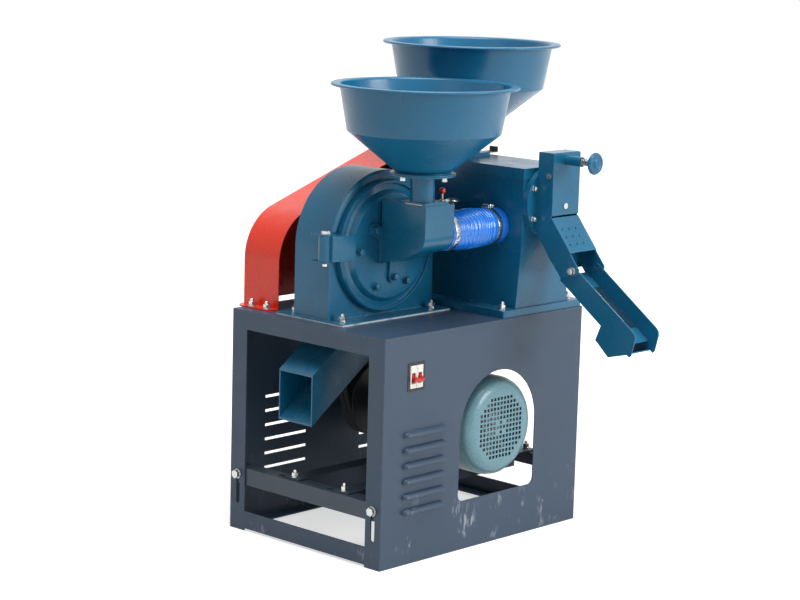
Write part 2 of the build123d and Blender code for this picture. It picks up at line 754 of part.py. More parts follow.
def v_belt(c1, r1, c2, r2, y_mid):
    """An open belt round two pulleys: two straight runs and two wrapped arcs."""
    base, ratio = tangent_angle(c1, r1, c2, r2)
    lean = pi / 2 - asin_safe(ratio)
    belt = None
    for side in (1, -1):
        angle = base + side * lean
        out = (cos(angle), sin(angle))
        start = (c1[0] + r1 * out[0], c1[1] + r1 * out[1])
        stop = (c2[0] + r2 * out[0], c2[1] + r2 * out[1])
        run = Vector(stop[0] - start[0], 0, stop[1] - start[1])
        straight = extrude(belt_section(start, out, y_mid), amount=run.length, dir=run.normalized())
        belt = straight if belt is None else belt + straight
    wrap1 = 2 * (pi - lean)
    wrap2 = 2 * lean
    for centre, radius, first, wrap in ((c1, r1, base + lean, wrap1), (c2, r2, base - lean, wrap2)):
        out = (cos(first), sin(first))
        at = (centre[0] + radius * out[0], centre[1] + radius * out[1])
        axis = Axis((centre[0], 0, centre[1]), (0, -1, 0))
        belt += revolve(belt_section(at, out, y_mid), axis, revolution_arc=degrees(wrap))
    return belt


def asin_safe(value):
    return atan2(value, sqrt(1 - value * value))


def crusher_belts():
    return group([v_belt((CR_X, CR_Z), CRUSHER_PULLEY_R, (MOTOR_X, motor_z()), MOTOR_BIG_R, y)
                  for y in groove_ys(CRUSHER_BELT_Y)])


def mill_belts():
    return group([v_belt((MILL_X, MILL_Z), MILL_PULLEY_R, (MOTOR_X, motor_z()), MOTOR_SMALL_R, y)
                  for y in groove_ys(MILL_BELT_Y)])


def belt_slot_x():
    """The stretch of the cabinet's top that both belts pass through."""
    def span(cx, cz, r1, r2):
        t = (CAB_H - cz) / (motor_z() - cz)
        middle = cx + t * (MOTOR_X - cx)
        return middle, r1 + t * (r2 - r1)

    left, wide1 = span(CR_X, CR_Z, CRUSHER_PULLEY_R, MOTOR_BIG_R)
    right, wide2 = span(MILL_X, MILL_Z, MILL_PULLEY_R, MOTOR_SMALL_R)
    return left - wide1 - 16, right + wide2 + 16


# Crusher
def crusher_bolts():
    y_mid = CR_Y + CR_DEPTH / 2
    return [(CR_X + s * CR_BOLT_DX, y_mid + t * CR_BOLT_DY) for s in (-1, 1) for t in (-1, 1)]


def chute_window():
    x0, x1 = chute_mouth_x()
    return x0 + CHUTE_T, x1 - CHUTE_T, CHUTE_Y0 + CHUTE_T, CHUTE_Y0 + CHUTE_W - CHUTE_T


def crusher_base():
    low, high = CAB_H, CAB_H + CR_BASE_T
    y0, y1 = CR_Y - CR_BASE_FLANGE, CR_Y + CR_DEPTH + CR_BASE_FLANGE
    base = block(CR_X - CR_BASE_W / 2, CR_X + CR_BASE_W / 2, y0, y1, low, high)
    base = fillet(base.edges().filter_by(Axis.Z), 6)
    x0, x1, a, b = chute_window()
    base -= block(x0, x1, a, b, low - 1, high + 1)
    for x, y in crusher_bolts():
        base -= rod_z(x, y, low - 1, high + 1, M8_R + HOLE)
    return base


def arch_prism(radius, y0, y1, low):
    """A block with a half round top, from the height low up."""
    prism = block(CR_X - radius, CR_X + radius, y0, y1, low, CR_Z) + rod_y(CR_X, y0, y1, CR_Z, radius)
    return prism - block(CR_X - radius, CR_X + radius, y0 - 1, y1 + 1, low - radius, low)


def ear(z):
    """A flat ear on the housing's left side, for the hinge pin."""
    wall = CR_X - CR_R + 1
    plate = rod_z(HINGE_X, HINGE_Y, z, z + EAR_T, HINGE_R)
    plate += block(HINGE_X - HINGE_R, wall + 20, CR_Y, HINGE_Y + 30, z, z + EAR_T)
    plate += block(HINGE_X - HINGE_R, HINGE_X, HINGE_Y, CR_Y, z, z + EAR_T)
    plate -= block(wall, wall + 30, CR_Y + 1, HINGE_Y + 40, z - 1, z + EAR_T + 1)
    return plate - rod_z(HINGE_X, HINGE_Y, z - 1, z + EAR_T + 1, HINGE_PIN_R + RUN)


def latch_ledge():
    """The catch beside the housing's right wall that the door's latch screw bears on, and its gusset."""
    wall = CR_X + CR_R
    reach = LATCH_X + LATCH_R
    front = LATCH_Y - LATCH_R + 3
    ledge = block(wall + 1, reach, front, CR_Y + 14, LEDGE_Z, LEDGE_Z + LEDGE_T)
    gusset = plate_xz([(wall, LEDGE_Z - 34), (wall + 4, LEDGE_Z - 34), (reach, LEDGE_Z - 4),
                       (reach, LEDGE_Z), (wall, LEDGE_Z)], CR_Y + 2, CR_Y + 14)
    return [ledge, gusset]


def ear_heights():
    return (EAR_LOW - EAR_T, EAR_HIGH)


def crusher_housing():
    low = CAB_H + CR_BASE_T
    y1 = CR_Y + CR_DEPTH
    shell = arch_prism(CR_R, CR_Y, y1, low - 0.5)
    rim_edges = shell.faces().sort_by(Axis.Y)[0].edges().filter_by(GeomType.CIRCLE)
    shell = fillet(rim_edges, 3)
    shell -= arch_prism(CR_R - CR_RIM_T, CR_Y + CR_FRONT_T, y1 - CR_REAR_T, low - 1)
    shell -= rod_y(CR_X, CR_Y - 1, CR_Y + CR_FRONT_T + 1, CR_Z, CR_MOUTH_R)
    shell -= rod_y(CR_X, y1 - CR_REAR_T - 1, y1 + 1, CR_Z, CR_BEARING_R + 4)
    for z in ear_heights():
        shell += ear(z)
    return group([shell + crusher_base()] + latch_ledge())


def crusher_screen():
    """The ring sieve round the rotor, pierced by long slots over its lower half."""
    y0, y1 = CR_Y + CR_FRONT_T, CR_Y + CR_DEPTH - CR_REAR_T
    ring = rod_y(CR_X, y0, y1, CR_Z, SCREEN_R) - rod_y(CR_X, y0 - 1, y1 + 1, CR_Z, SCREEN_R - SCREEN_T)
    for i in range(SCREEN_HOLES):
        angle = 180 + 180 * (i + 0.5) / SCREEN_HOLES
        slot = block(SCREEN_R - 2 * SCREEN_T, SCREEN_R + 1, y0 + 12, y1 - 12, -4, 4)
        ring -= Pos(CR_X, 0, CR_Z) * Rot(0, -angle, 0) * slot
    return ring


def bearing_hub(x, z, y0, length, hub_r, seat_r, flange_r, shaft_r, seat_l):
    """A cast hub: flange against the wall, a bearing seat at each end, a cap round the shaft."""
    y1 = y0 + length
    return turned_y(x, z, [
        (seat_r - 4, y0), (flange_r, y0), (flange_r, y0 + 8), (hub_r, y0 + 12), (hub_r, y1),
        (shaft_r + 1.5, y1), (shaft_r + 1.5, y1 - 3), (seat_r, y1 - 3), (seat_r, y1 - 3 - seat_l),
        (seat_r - 4, y1 - 3 - seat_l)])


def ball_bearings(x, z, ys, outer, inner, length):
    rings = []
    for y in ys:
        ring = rod_y(x, y, y + length, z, outer - RUN) - rod_y(x, y - 1, y + length + 1, z, inner + RUN)
        rings.append(ring)
    return rings


def crusher_hub():
    y0 = CR_Y + CR_DEPTH
    hub = bearing_hub(CR_X, CR_Z, y0, CR_HUB_L, CR_HUB_R, CR_BEARING_R, CR_BEARING_R + 32,
                      CR_SHAFT_R, CR_BEARING_L)
    return hub - rod_y(CR_X, y0 - 1, y0 + CR_BEARING_L + 3, CR_Z, CR_BEARING_R)


def crusher_bearings():
    y0 = CR_Y + CR_DEPTH
    last = y0 + CR_HUB_L - 3 - CR_BEARING_L
    return ball_bearings(CR_X, CR_Z, (y0 + 3, last), CR_BEARING_R, CR_SHAFT_R, CR_BEARING_L)


def rotor_disc_y():
    return CR_Y + CR_DEPTH - CR_REAR_T - 6 - CR_DISC_T


def claw_row(radius, count, y0, y1, first=0.0):
    pins = []
    for i in range(count):
        claw = block(radius - CLAW / 2, radius + CLAW / 2, y0, y1, -CLAW / 2, CLAW / 2)
        pins.append(Pos(CR_X, 0, CR_Z) * Rot(0, first + 360 / count * i, 0) * claw)
    return pins


def stator_face_y():
    """The inner face of the door's stator ring."""
    return CR_Y - FREE + DOOR_SPIGOT + 6


def crusher_rotor():
    """The beater disc with two rows of claws, on the crusher's shaft."""
    y0 = rotor_disc_y()
    tip = stator_face_y() + 5
    rotor = rod_y(CR_X, y0, y0 + CR_DISC_T, CR_Z, CR_DISC_R)
    rotor += rod_y(CR_X, y0 - 16, y0 + CR_DISC_T + 4, CR_Z, 24)
    for radius, count in CLAW_ROWS:
        for claw in claw_row(radius, count, tip, y0 + 1):
            rotor += claw
    rotor += rod_y(CR_X, y0 - 26, CRUSHER_BELT_Y + pulley_width() / 2 + 4, CR_Z, CR_SHAFT_R)
    nut = Pos(CR_X, y0 - 16, CR_Z) * Rot(90, 0, 0) * hexagon(34, 8)
    return rotor + nut


def crusher_pulley():
    hub_y = CR_Y + CR_DEPTH + CR_HUB_L + 2
    return small_pulley(CR_X, CR_Z, CRUSHER_PULLEY_R, CRUSHER_BELT_Y, CR_SHAFT_R, hub_y)


def discharge_chute():
    """A square steel tube that falls from under the cabinet's top out through its open left end."""
    rise = tan(radians(CHUTE_SLOPE))
    top_z = CAB_H - TOP_T
    x0, x1 = chute_mouth_x()
    outer = plate_xz([(CHUTE_X, CHUTE_LOW_Z), (x1, top_z), (x0, top_z), (CHUTE_X, CHUTE_LOW_Z + CHUTE_H)],
                     CHUTE_Y0, CHUTE_Y0 + CHUTE_W)
    t = CHUTE_T / cos(radians(CHUTE_SLOPE))
    far = 4.0
    inner = plate_xz([
        (CHUTE_X - far, CHUTE_LOW_Z + t - far * rise), (x1 + far / rise - t / rise, top_z + far),
        (x0 + far / rise + t / rise, top_z + far), (CHUTE_X - far, CHUTE_LOW_Z + CHUTE_H - t - far * rise)],
        CHUTE_Y0 + CHUTE_T, CHUTE_Y0 + CHUTE_W - CHUTE_T)
    flange = block(x0 - 12, x1 + 12, CHUTE_Y0 - 12, CHUTE_Y0 + CHUTE_W + 12, top_z - 3, top_z)
    a, b, c, d = chute_window()
    flange -= block(a, b, c, d, top_z - 4, top_z + 1)
    return outer + flange - inner


# Crusher door with the feed box
def door_back():
    return CR_Y - FREE


def door_face():
    return door_back() - DOOR_FLANGE - DOOR_RAISED


def crusher_door():
    """A cast disc with a bead, a raised middle, a hinge lug on the left and a latch lug on the right."""
    back = door_back()
    flange = back - DOOR_FLANGE
    face = door_face()
    door = turned_y(CR_X, CR_Z, [
        (0, back + DOOR_SPIGOT), (DOOR_SPIGOT_R, back + DOOR_SPIGOT), (DOOR_SPIGOT_R, back), (DOOR_R, back),
        (DOOR_R, flange + 3), (DOOR_R - 3, flange), (DOOR_BEAD_R + 2, flange), (DOOR_BEAD_R, flange + 5),
        (DOOR_RAISED_R + 8, flange + 3), (DOOR_RAISED_R + 3, face + 3), (DOOR_RAISED_R - 1, face),
        (0, face)])
    low, high = EAR_LOW + FREE, EAR_HIGH - FREE
    lug_y = face - 4
    reach = back - 0.6
    hinge_lug = block(HINGE_X, LUG_END_X, lug_y, reach, low, high) + rod_z(HINGE_X, HINGE_Y, low, high,
                                                                           HINGE_R)
    lug_low = latch_z()
    lug_high = lug_low + LATCH_LUG_H
    latch_lug = block(CR_X + DOOR_R - 30, LATCH_X, LATCH_Y - LATCH_R, reach, lug_low, lug_high)
    latch_lug += rod_z(LATCH_X, LATCH_Y, lug_low, lug_high, LATCH_R)
    door += hinge_lug + latch_lug
    door -= rod_z(HINGE_X, HINGE_Y, low - 1, high + 1, HINGE_PIN_R + RUN)
    door -= rod_z(LATCH_X, LATCH_Y, lug_low - 1, lug_high + 1, LATCH_SCREW_R + RUN)
    for x, z in stator_bolt_places() + list(feed_plate_outline()):
        door -= rod_y(x, face - 1, face + 9, z, M8_R + HOLE)
    a, b, c, d = FEED_WINDOW
    return door - block(a, b, face - 1, back + DOOR_SPIGOT + 1, c, d)


def hinge_pin():
    low, high = EAR_LOW - EAR_T - 6, EAR_HIGH + EAR_T
    pin = rod_z(HINGE_X, HINGE_Y, low, high, HINGE_PIN_R)
    return pin + Pos(HINGE_X, HINGE_Y, high) * hexagon(M10_HEX, 6)


def latch_z():
    return LEDGE_Z + LEDGE_T + FREE


def latch_screw():
    """The latch's hand screw with its domed head: it turns in the door's lug, above the ledge."""
    low = latch_z()
    top = LATCH_KNOB_Z
    stem = rod_z(LATCH_X, LATCH_Y, low, top + 2, LATCH_SCREW_R)
    stem += rod_z(LATCH_X, LATCH_Y, low + LATCH_LUG_H + FREE, low + LATCH_LUG_H + 7, LATCH_SCREW_R + 4)
    r = LATCH_KNOB_R
    knob = turned_z(LATCH_X, LATCH_Y, [(0, top), (r - 5, top), (r - 1, top + 2), (r, top + 3.5),
                                       (r - 3, top + 6.5), (r - 9, top + 8.5), (0, top + 9)])
    return stem + knob


def stator_ring():
    """The fixed claws: a ring screwed to the door's inner face, one row between the rotor's two."""
    back = door_back() + DOOR_SPIGOT
    face = stator_face_y()
    inner = STATOR_ROW_R - 10
    ring = rod_y(CR_X, back, face, CR_Z, DOOR_RAISED_R - 4) - rod_y(CR_X, back - 1, face + 1, CR_Z, inner)
    for claw in claw_row(STATOR_ROW_R, STATOR_ROW_N, face - 1, rotor_disc_y() - 8, 22.5):
        ring += claw
    return ring


def stator_bolt_places():
    places = []
    for i in range(DOOR_BOLTS):
        angle = radians(3 + 60 * i)
        x, z = CR_X + DOOR_BOLT_PCD * cos(angle), CR_Z + DOOR_BOLT_PCD * sin(angle)
        if abs(x - (BOX_X0 + BOX_X1) / 2) > 56 or z < CR_Z - 70:
            places.append((x, z))
    return places


def feed_plate_outline():
    """The lobed plate that the feed box is welded to, as lobes (x, z) of its three bolts."""
    return ((BOX_X0 - 18, CR_Z + 37), (CR_X + 6, CR_Z - 62), (BOX_X1 + 18, CR_Z + 20))


def floor_line(inset):
    """The feed box's front and floor: down, round the hose's axis, then back to the door."""
    r = BOX_ROUND - inset
    back_y = door_face() - FEED_PLATE_T
    run, fall = back_y - HOSE_Y, HOSE_Z - BOX_ROUND - BOX_LOW
    slope = atan2(fall, run)
    steps = 7
    sweep_angle = pi / 2 - slope
    points = []
    for i in range(steps + 1):
        angle = pi + sweep_angle * i / steps
        points.append((HOSE_Y + r * cos(angle), HOSE_Z + r * sin(angle)))
    reach = (back_y + inset - points[-1][0])
    return points + [(back_y + inset, points[-1][1] - reach * tan(slope))]


def feed_box():
    """A welded sheet box on a lobed plate: it turns the grain from the neck into the door."""
    face = door_face()
    back_y = face - FEED_PLATE_T
    profile = [(back_y, BOX_TOP), (HOSE_Y - BOX_ROUND, BOX_TOP)] + floor_line(0)
    outer = plate_yz(profile, BOX_X0, BOX_X1)
    t = BOX_T
    inner_profile = [(back_y + t, BOX_TOP - t), (HOSE_Y - BOX_ROUND + t, BOX_TOP - t)] + floor_line(t)
    box = outer - plate_yz(inner_profile, BOX_X0 + t, BOX_X1 - t)
    a, b, c, d = FEED_WINDOW
    plate = block(a - 12, b + 12, back_y, face, c - 10, d + 8)
    for x, z in feed_plate_outline():
        plate += rod_y(x, back_y, face, z, 13)
        plate += lobe_web(x, z, back_y, face)
    plate -= block(a, b, back_y - 1, face + 1, c, d)
    for x, z in feed_plate_outline():
        plate -= rod_y(x, back_y - 1, face + 1, z, M8_R + HOLE)
    box += plate
    for y in (FRONT_HOPPER_Y - NECK_R - 0.6 - GUIDE_W, FRONT_HOPPER_Y + NECK_R + 0.6):
        box += block(BOX_X0, BOX_X1 - 14, y, y + GUIDE_W, BOX_TOP - 0.5, BOX_TOP + GATE_T + 2 * FREE)
    box -= rod_z(FRONT_HOPPER_X, FRONT_HOPPER_Y, BOX_TOP - t - 1, BOX_TOP + 1, NECK_R - NECK_T)
    spigot_x = BOX_X1 + SPIGOT_L
    r = HOSE_R - HOSE_WALL - FREE
    box += rod_x(BOX_X1 - 1, spigot_x, HOSE_Y, HOSE_Z, r)
    return box - rod_x(BOX_X1 - t - 1, spigot_x + 1, HOSE_Y, HOSE_Z, r - 2)


def lobe_web(x, z, y0, y1):
    """The web from a bolt's lobe to the plate's middle."""
    a, b, c, d = FEED_WINDOW
    mx, mz = (a + b) / 2, (c + d) / 2
    length = hypot(mx - x, mz - z)
    web = block(0, length, y0, y1, -13, 13)
    return Pos(x, 0, z) * Rot(0, -degrees(atan2(mz - z, mx - x)), 0) * web


def front_neck():
    """The tube under the front hopper on its foot plate, above the gate's guides."""
    x, y = FRONT_HOPPER_X, FRONT_HOPPER_Y
    foot = BOX_TOP + GATE_T + 2 * FREE
    top = FRONT_HOPPER_LOW - HOPPER_FLANGE_T
    reach = NECK_R + 0.6 + GUIDE_W
    neck = rod_z(x, y, foot, top, NECK_R)
    neck += block(BOX_X0, x + NECK_R + 12, y - reach, y + reach, foot, foot + 3)
    neck += rod_z(x, y, top - HOPPER_FLANGE_T, top, HOPPER_FLANGE_R)
    neck -= rod_z(x, y, foot - 1, top + 1, NECK_R - NECK_T)
    for hx, hy in flange_bolts(x, y):
        neck -= rod_z(hx, hy, top - HOPPER_FLANGE_T - 1, top + 1, M6_R + HOLE)
    return neck


def flange_bolts(x, y):
    reach = HOPPER_BOLT_R
    return [(x + reach, y), (x, y + reach), (x - reach, y), (x, y - reach)]


def gate_stem_x():
    return FRONT_HOPPER_X + NECK_R + 34


def feed_gate():
    """The slide under the front hopper, with its stem and ball, pulled towards the right."""
    x, y = FRONT_HOPPER_X, FRONT_HOPPER_Y
    low = BOX_TOP + FREE
    half = NECK_R + 0.2
    plate = block(x - NECK_R, gate_stem_x() - 8, y - half, y + half, low, low + GATE_T)
    plate += block(gate_stem_x() - 9, gate_stem_x() + 7, y - 9, y + 9, low, low + GATE_T)
    stem = rod_z(gate_stem_x(), y, low, low + GATE_STEM, 2.5)
    ball = Pos(gate_stem_x(), y, low + GATE_STEM + GATE_KNOB_R - 2) * Sphere(GATE_KNOB_R)
    return plate + stem + ball


def hopper(x, y, low):
    """A spun cone with a deep band, a rolled lip and a bolted throat flange."""
    t = HOPPER_T
    knee = low + HOPPER_CONE_H
    top = knee + HOPPER_BAND_H
    profile = [
        (HOPPER_THROAT_R, low), (HOPPER_BAND_LOW_R, knee), (HOPPER_BAND_TOP_R, top - 3),
        (HOPPER_RIM_R, top - 3),
        (HOPPER_RIM_R, top), (HOPPER_BAND_TOP_R - t, top), (HOPPER_BAND_LOW_R - t, knee + 1),
        (HOPPER_THROAT_R - t, low + t)]
    plug = [(NECK_R, low - HOPPER_FLANGE_T), (HOPPER_FLANGE_R, low - HOPPER_FLANGE_T),
            (HOPPER_FLANGE_R, low),
            (HOPPER_THROAT_R, low), (HOPPER_THROAT_R - t, low + t), (NECK_R + 8, low), (NECK_R, low - 1)]
    return turned_z(x, y, profile[:-1] + [(HOPPER_THROAT_R - t, low + t)]) + turned_z(x, y, plug)


def hopper_with_holes(x, y, low):
    body = hopper(x, y, low)
    for hx, hy in flange_bolts(x, y):
        body -= rod_z(hx, hy, low - HOPPER_FLANGE_T - 1, low + 12, M6_R + HOLE)
    return body


def door_fasteners():
    """The bolts of the stator ring, of the feed plate and of the front hopper's flange."""
    bolts = stator_bolts()
    seat = door_face() - FEED_PLATE_T
    for x, z in feed_plate_outline():
        bolts.append(bolt(Pos(x, seat, z) * FRONT, M8_R, M8_HEX, FEED_PLATE_T + 8.0))
    low = FRONT_HOPPER_LOW - 2 * HOPPER_FLANGE_T
    for x, y in flange_bolts(FRONT_HOPPER_X, FRONT_HOPPER_Y):
        bolts.append(bolt(Pos(x, y, low) * Rot(180, 0, 0), M6_R, M6_HEX, 2 * HOPPER_FLANGE_T - 0.2))
    return group(bolts)


def stator_bolts():
    """The bolts that hold the stator ring; their shanks are kept short, in blind holes."""
    face = door_face()
    return [bolt(Pos(x, face, z) * FRONT, M8_R, M8_HEX, 8.0) for x, z in stator_bolt_places()]


# Hose
def hose_span():
    return BOX_X1 + 1.0, MILL_X - MILL_W / 2 - 1.0


def hose():
    """A ribbed hose over both spigots, a little swollen between its clamps."""
    x0, x1 = hose_span()
    start, end = HOSE_PLAIN
    length = x1 - x0 - start - end
    outer = [(x0, HOSE_R), (x0 + start, HOSE_R)]
    for i in range(HOSE_RIBS):
        a = x0 + start + length * i / HOSE_RIBS
        b = x0 + start + length * (i + 0.5) / HOSE_RIBS
        swell = HOSE_SWELL * sin(pi * (i + 0.5) / HOSE_RIBS)
        outer += [(a + 0.5, HOSE_R + swell * 0.6), (b, HOSE_R + swell + 1.6)]
    outer += [(x1 - end, HOSE_R), (x1, HOSE_R)]
    inner = HOSE_R - HOSE_WALL
    points = [(x, inner) for x in (x1, x0)]
    wire = Polyline(*[(x, HOSE_Y, HOSE_Z + r) for x, r in outer + points], close=True)
    return revolve(make_face(wire), Axis((0, HOSE_Y, HOSE_Z), (1, 0, 0)))


def hose_clamp(x_mid):
    """A worm-drive band with its screw housing on top."""
    x0, x1 = x_mid - CLAMP_W / 2, x_mid + CLAMP_W / 2
    r = HOSE_R + FREE
    band = rod_x(x0, x1, HOSE_Y, HOSE_Z, r + CLAMP_T) - rod_x(x0 - 1, x1 + 1, HOSE_Y, HOSE_Z, r)
    top = HOSE_Z + r
    case = block(x0 - 1, x1 + 1, HOSE_Y - 8, HOSE_Y + 8, top + 0.3, top + 8)
    screw = rod_y(x_mid, HOSE_Y - 20, HOSE_Y - 8, top + 5, 3.2)
    return band + case + screw


# Rice mill
def mill_bolts():
    return [(MILL_X + s * PLINTH_BOLT_DX, y) for s in (-1, 1) for y in PLINTH_BOLT_Y]


def mill_rear():
    return MILL_Y + MILL_L


def mill_base():
    """A folded plinth and a tapered box, welded together, hollow below."""
    low, plinth_top = CAB_H, CAB_H + PLINTH_H
    x0, x1 = MILL_X - PLINTH_W / 2, MILL_X + PLINTH_W / 2
    y0, y1 = PLINTH_Y, PLINTH_Y + PLINTH_D
    t = PLINTH_T
    base = block(x0, x1, y0, y1, low, plinth_top)
    base = fillet(base.edges().filter_by(Axis.Z), 3)
    base -= block(x0 + t, x1 - t, y0 + t, y1 - t, low - 1, plinth_top - t)
    foot, head = MILL_FOOT_W / 2, MILL_W / 2

    def taper(shrink, z0, z1):
        lower = Pos(MILL_X, (MILL_Y + mill_rear()) / 2, z0) * Rectangle(2 * (foot - shrink),
                                                                        MILL_L - 2 * shrink)
        upper = Pos(MILL_X, (MILL_Y + mill_rear()) / 2, z1) * Rectangle(2 * (head - shrink),
                                                                        MILL_L - 2 * shrink)
        return loft([lower, upper])

    base += taper(0, plinth_top, MILL_SEAM)
    base -= taper(t, plinth_top - t - 1, MILL_SEAM - t)
    base -= block(MILL_X - head + 12, MILL_X + head - 12, MILL_Y + 20, mill_rear() - 60,
                  MILL_SEAM - t - 1, MILL_SEAM + 1)
    for x, y in mill_bolts():
        base -= rod_z(x, y, low - 1, plinth_top + 1, M8_R + HOLE)
    return base


def mill_housing():
    """The upper box round the roller: open at the top, with the hose's spigot on its left wall."""
    x0, x1 = MILL_X - MILL_W / 2, MILL_X + MILL_W / 2
    y0, y1 = MILL_Y, mill_rear()
    low, high = MILL_SEAM, MILL_TOP - COVER_T
    t = MILL_T
    box = block(x0, x1, y0, y1, low, high) - block(x0 + t, x1 - t, y0 + t, y1 - t, low - 1, high + 1)
    box -= rod_y(MILL_X, y0 - 1, y0 + t + 1, MILL_Z, SIEVE_R + 2)
    box -= rod_y(MILL_X, y1 - t - 1, y1 + 1, MILL_Z, MILL_BEARING_R + 4)
    box -= rod_x(x0 - 1, x0 + t + 1, HOSE_Y, HOSE_Z, HOSE_R - HOSE_WALL - FREE - 2)
    r = HOSE_R - HOSE_WALL - FREE
    spigot = rod_x(x0 - SPIGOT_L, x0 + 1, HOSE_Y, HOSE_Z, r)
    spigot -= rod_x(x0 - SPIGOT_L - 1, x0 + 2, HOSE_Y, HOSE_Z, r - 2)
    return box + spigot


def mill_cover():
    """A folded lid over the housing, with the throat for the rear hopper."""
    x0, x1 = MILL_X - MILL_W / 2, MILL_X + MILL_W / 2
    y0, y1 = MILL_Y, mill_rear()
    t = COVER_T
    gap = 0.3
    lid = block(x0 - t - gap, x1 + t + gap, y0 - t - gap, y1 + t + gap, MILL_TOP - COVER_SKIRT, MILL_TOP)
    lid -= block(x0 - gap, x1 + gap, y0 - gap, y1 + gap, MILL_TOP - COVER_SKIRT - 1, MILL_TOP - t)
    front = MILL_Y
    lid -= rod_y(MILL_X, front - t - 2, front, MILL_Z, FLANGE_R + 1)
    return lid - rod_z(REAR_HOPPER_X, REAR_HOPPER_Y, MILL_TOP - 5, MILL_TOP + 1, NECK_R - NECK_T)


def barrel_y():
    return MILL_Y + MILL_T + SIEVE_L, mill_rear() - MILL_T


def mill_barrel():
    """The cast feed barrel behind the sieve, with the throat that grain falls through."""
    y0, y1 = barrel_y()
    outer = SIEVE_R + BARREL_T
    barrel = rod_y(MILL_X, y0, y1, MILL_Z, outer)
    barrel += rod_z(REAR_HOPPER_X, REAR_HOPPER_Y, MILL_Z, MILL_TOP - COVER_T - 0.5, NECK_R + 4)
    barrel -= rod_y(MILL_X, y0 - 1, y1 + 1, MILL_Z, SIEVE_R - 2)
    barrel -= rod_z(REAR_HOPPER_X, REAR_HOPPER_Y, MILL_Z, MILL_TOP, NECK_R - NECK_T)
    legs = block(MILL_X - 24, MILL_X + 24, y1 - 40, y1 - 10, MILL_SEAM, MILL_Z - SIEVE_R - 4)
    return barrel + legs


def mill_sieve():
    """The pierced tube round the roller: rows of slots that bran falls through."""
    y0 = MILL_Y + MILL_T
    y1 = barrel_y()[0]
    tube = rod_y(MILL_X, y0, y1, MILL_Z, SIEVE_R) - rod_y(MILL_X, y0 - 1, y1 + 1, MILL_Z, SIEVE_R - SIEVE_T)
    slots = []
    for i in range(10):
        for j in range(3):
            a = y0 + 14 + j * 50
            slot = block(SIEVE_R - 3, SIEVE_R + 1, a, a + 40, -2, 2)
            slots.append(Pos(MILL_X, 0, MILL_Z) * Rot(0, 36 * i, 0) * slot)
    return tube.cut(*slots)


def mill_rotor():
    """The shaft with its milling roller in front and its feed screw behind."""
    y0, y1 = barrel_y()
    front = MILL_Y - FLANGE_T + 3
    rotor = rod_y(MILL_X, front, y0 - 6, MILL_Z, ROLLER_R - 3)
    rotor += rod_y(MILL_X, y0 - 6, MILL_BELT_Y + pulley_width() / 2 + 4, MILL_Z, MILL_SHAFT_R)
    for i in range(4):
        rib = block(ROLLER_R - 5, ROLLER_R, front + 4, y0 - 10, -4, 4)
        rotor += Pos(MILL_X, 0, MILL_Z) * Rot(0, 90 * i, 0) * rib
    turns = 3
    pitch = (y1 - y0 - 14) / turns
    for i in range(turns):
        y = y0 + 2 + pitch * i
        flight = turned_y(MILL_X, MILL_Z, [(MILL_SHAFT_R - 1, 0), (ROLLER_R, 0), (ROLLER_R, 5),
                                           (MILL_SHAFT_R - 1, 9)])
        rotor += Pos(0, y, 0) * flight
    return rotor


def mill_hub():
    y0 = mill_rear()
    hub = bearing_hub(MILL_X, MILL_Z, y0, MILL_HUB_L, MILL_HUB_R, MILL_BEARING_R, MILL_BEARING_R + 17,
                      MILL_SHAFT_R, MILL_BEARING_L)
    return hub - rod_y(MILL_X, y0 - 1, y0 + MILL_BEARING_L + 3, MILL_Z, MILL_BEARING_R)


def bearings():
    """The ball bearings of crusher and mill, two to each shaft."""
    return group(list(crusher_bearings()) + list(mill_bearings()))


def mill_bearings():
    y0 = mill_rear()
    last = y0 + MILL_HUB_L - 3 - MILL_BEARING_L
    return ball_bearings(MILL_X, MILL_Z, (y0 + 3, last), MILL_BEARING_R, MILL_SHAFT_R, MILL_BEARING_L)


def mill_pulley():
    hub_y = mill_rear() + MILL_HUB_L + 2
    return small_pulley(MILL_X, MILL_Z, MILL_PULLEY_R, MILL_BELT_Y, MILL_SHAFT_R, hub_y)


# Rear hopper's neck and gate
def rear_neck():
    x, y = REAR_HOPPER_X, REAR_HOPPER_Y
    foot = MILL_TOP
    slot_low, slot_high = foot + 3, foot + 3 + GATE_T + 2 * FREE
    top = REAR_HOPPER_LOW - HOPPER_FLANGE_T
    neck = rod_z(x, y, foot, top, NECK_R)
    side = NECK_R + 8
    neck += block(x - side, x + side, y - side, y + side, foot, slot_high + 3)
    neck += rod_z(x, y, top - HOPPER_FLANGE_T, top, HOPPER_FLANGE_R)
    neck -= block(x - NECK_R - 2, x + side + 1, y - NECK_R - 0.6, y + NECK_R + 0.6, slot_low, slot_high)
    neck -= rod_z(x, y, foot - 1, top + 1, NECK_R - NECK_T)
    for hx, hy in flange_bolts(x, y):
        neck -= rod_z(hx, hy, top - HOPPER_FLANGE_T - 1, top + 1, M6_R + HOLE)
    return neck


def mill_gate():
    """The slide under the rear hopper, with a folded handle on its right."""
    x, y = REAR_HOPPER_X, REAR_HOPPER_Y
    low = MILL_TOP + 3 + FREE
    half = NECK_R - 0.2
    plate = block(x - NECK_R + 1, x + NECK_R + 12, y - half, y + half, low, low + GATE_T)
    tab = block(x + NECK_R + 8, x + NECK_R + 58, y - 11, y + 11, low, low + GATE_T)
    lip = block(x + NECK_R + 55.5, x + NECK_R + 58, y - 11, y + 11, low, low + 12)
    return plate + tab + lip


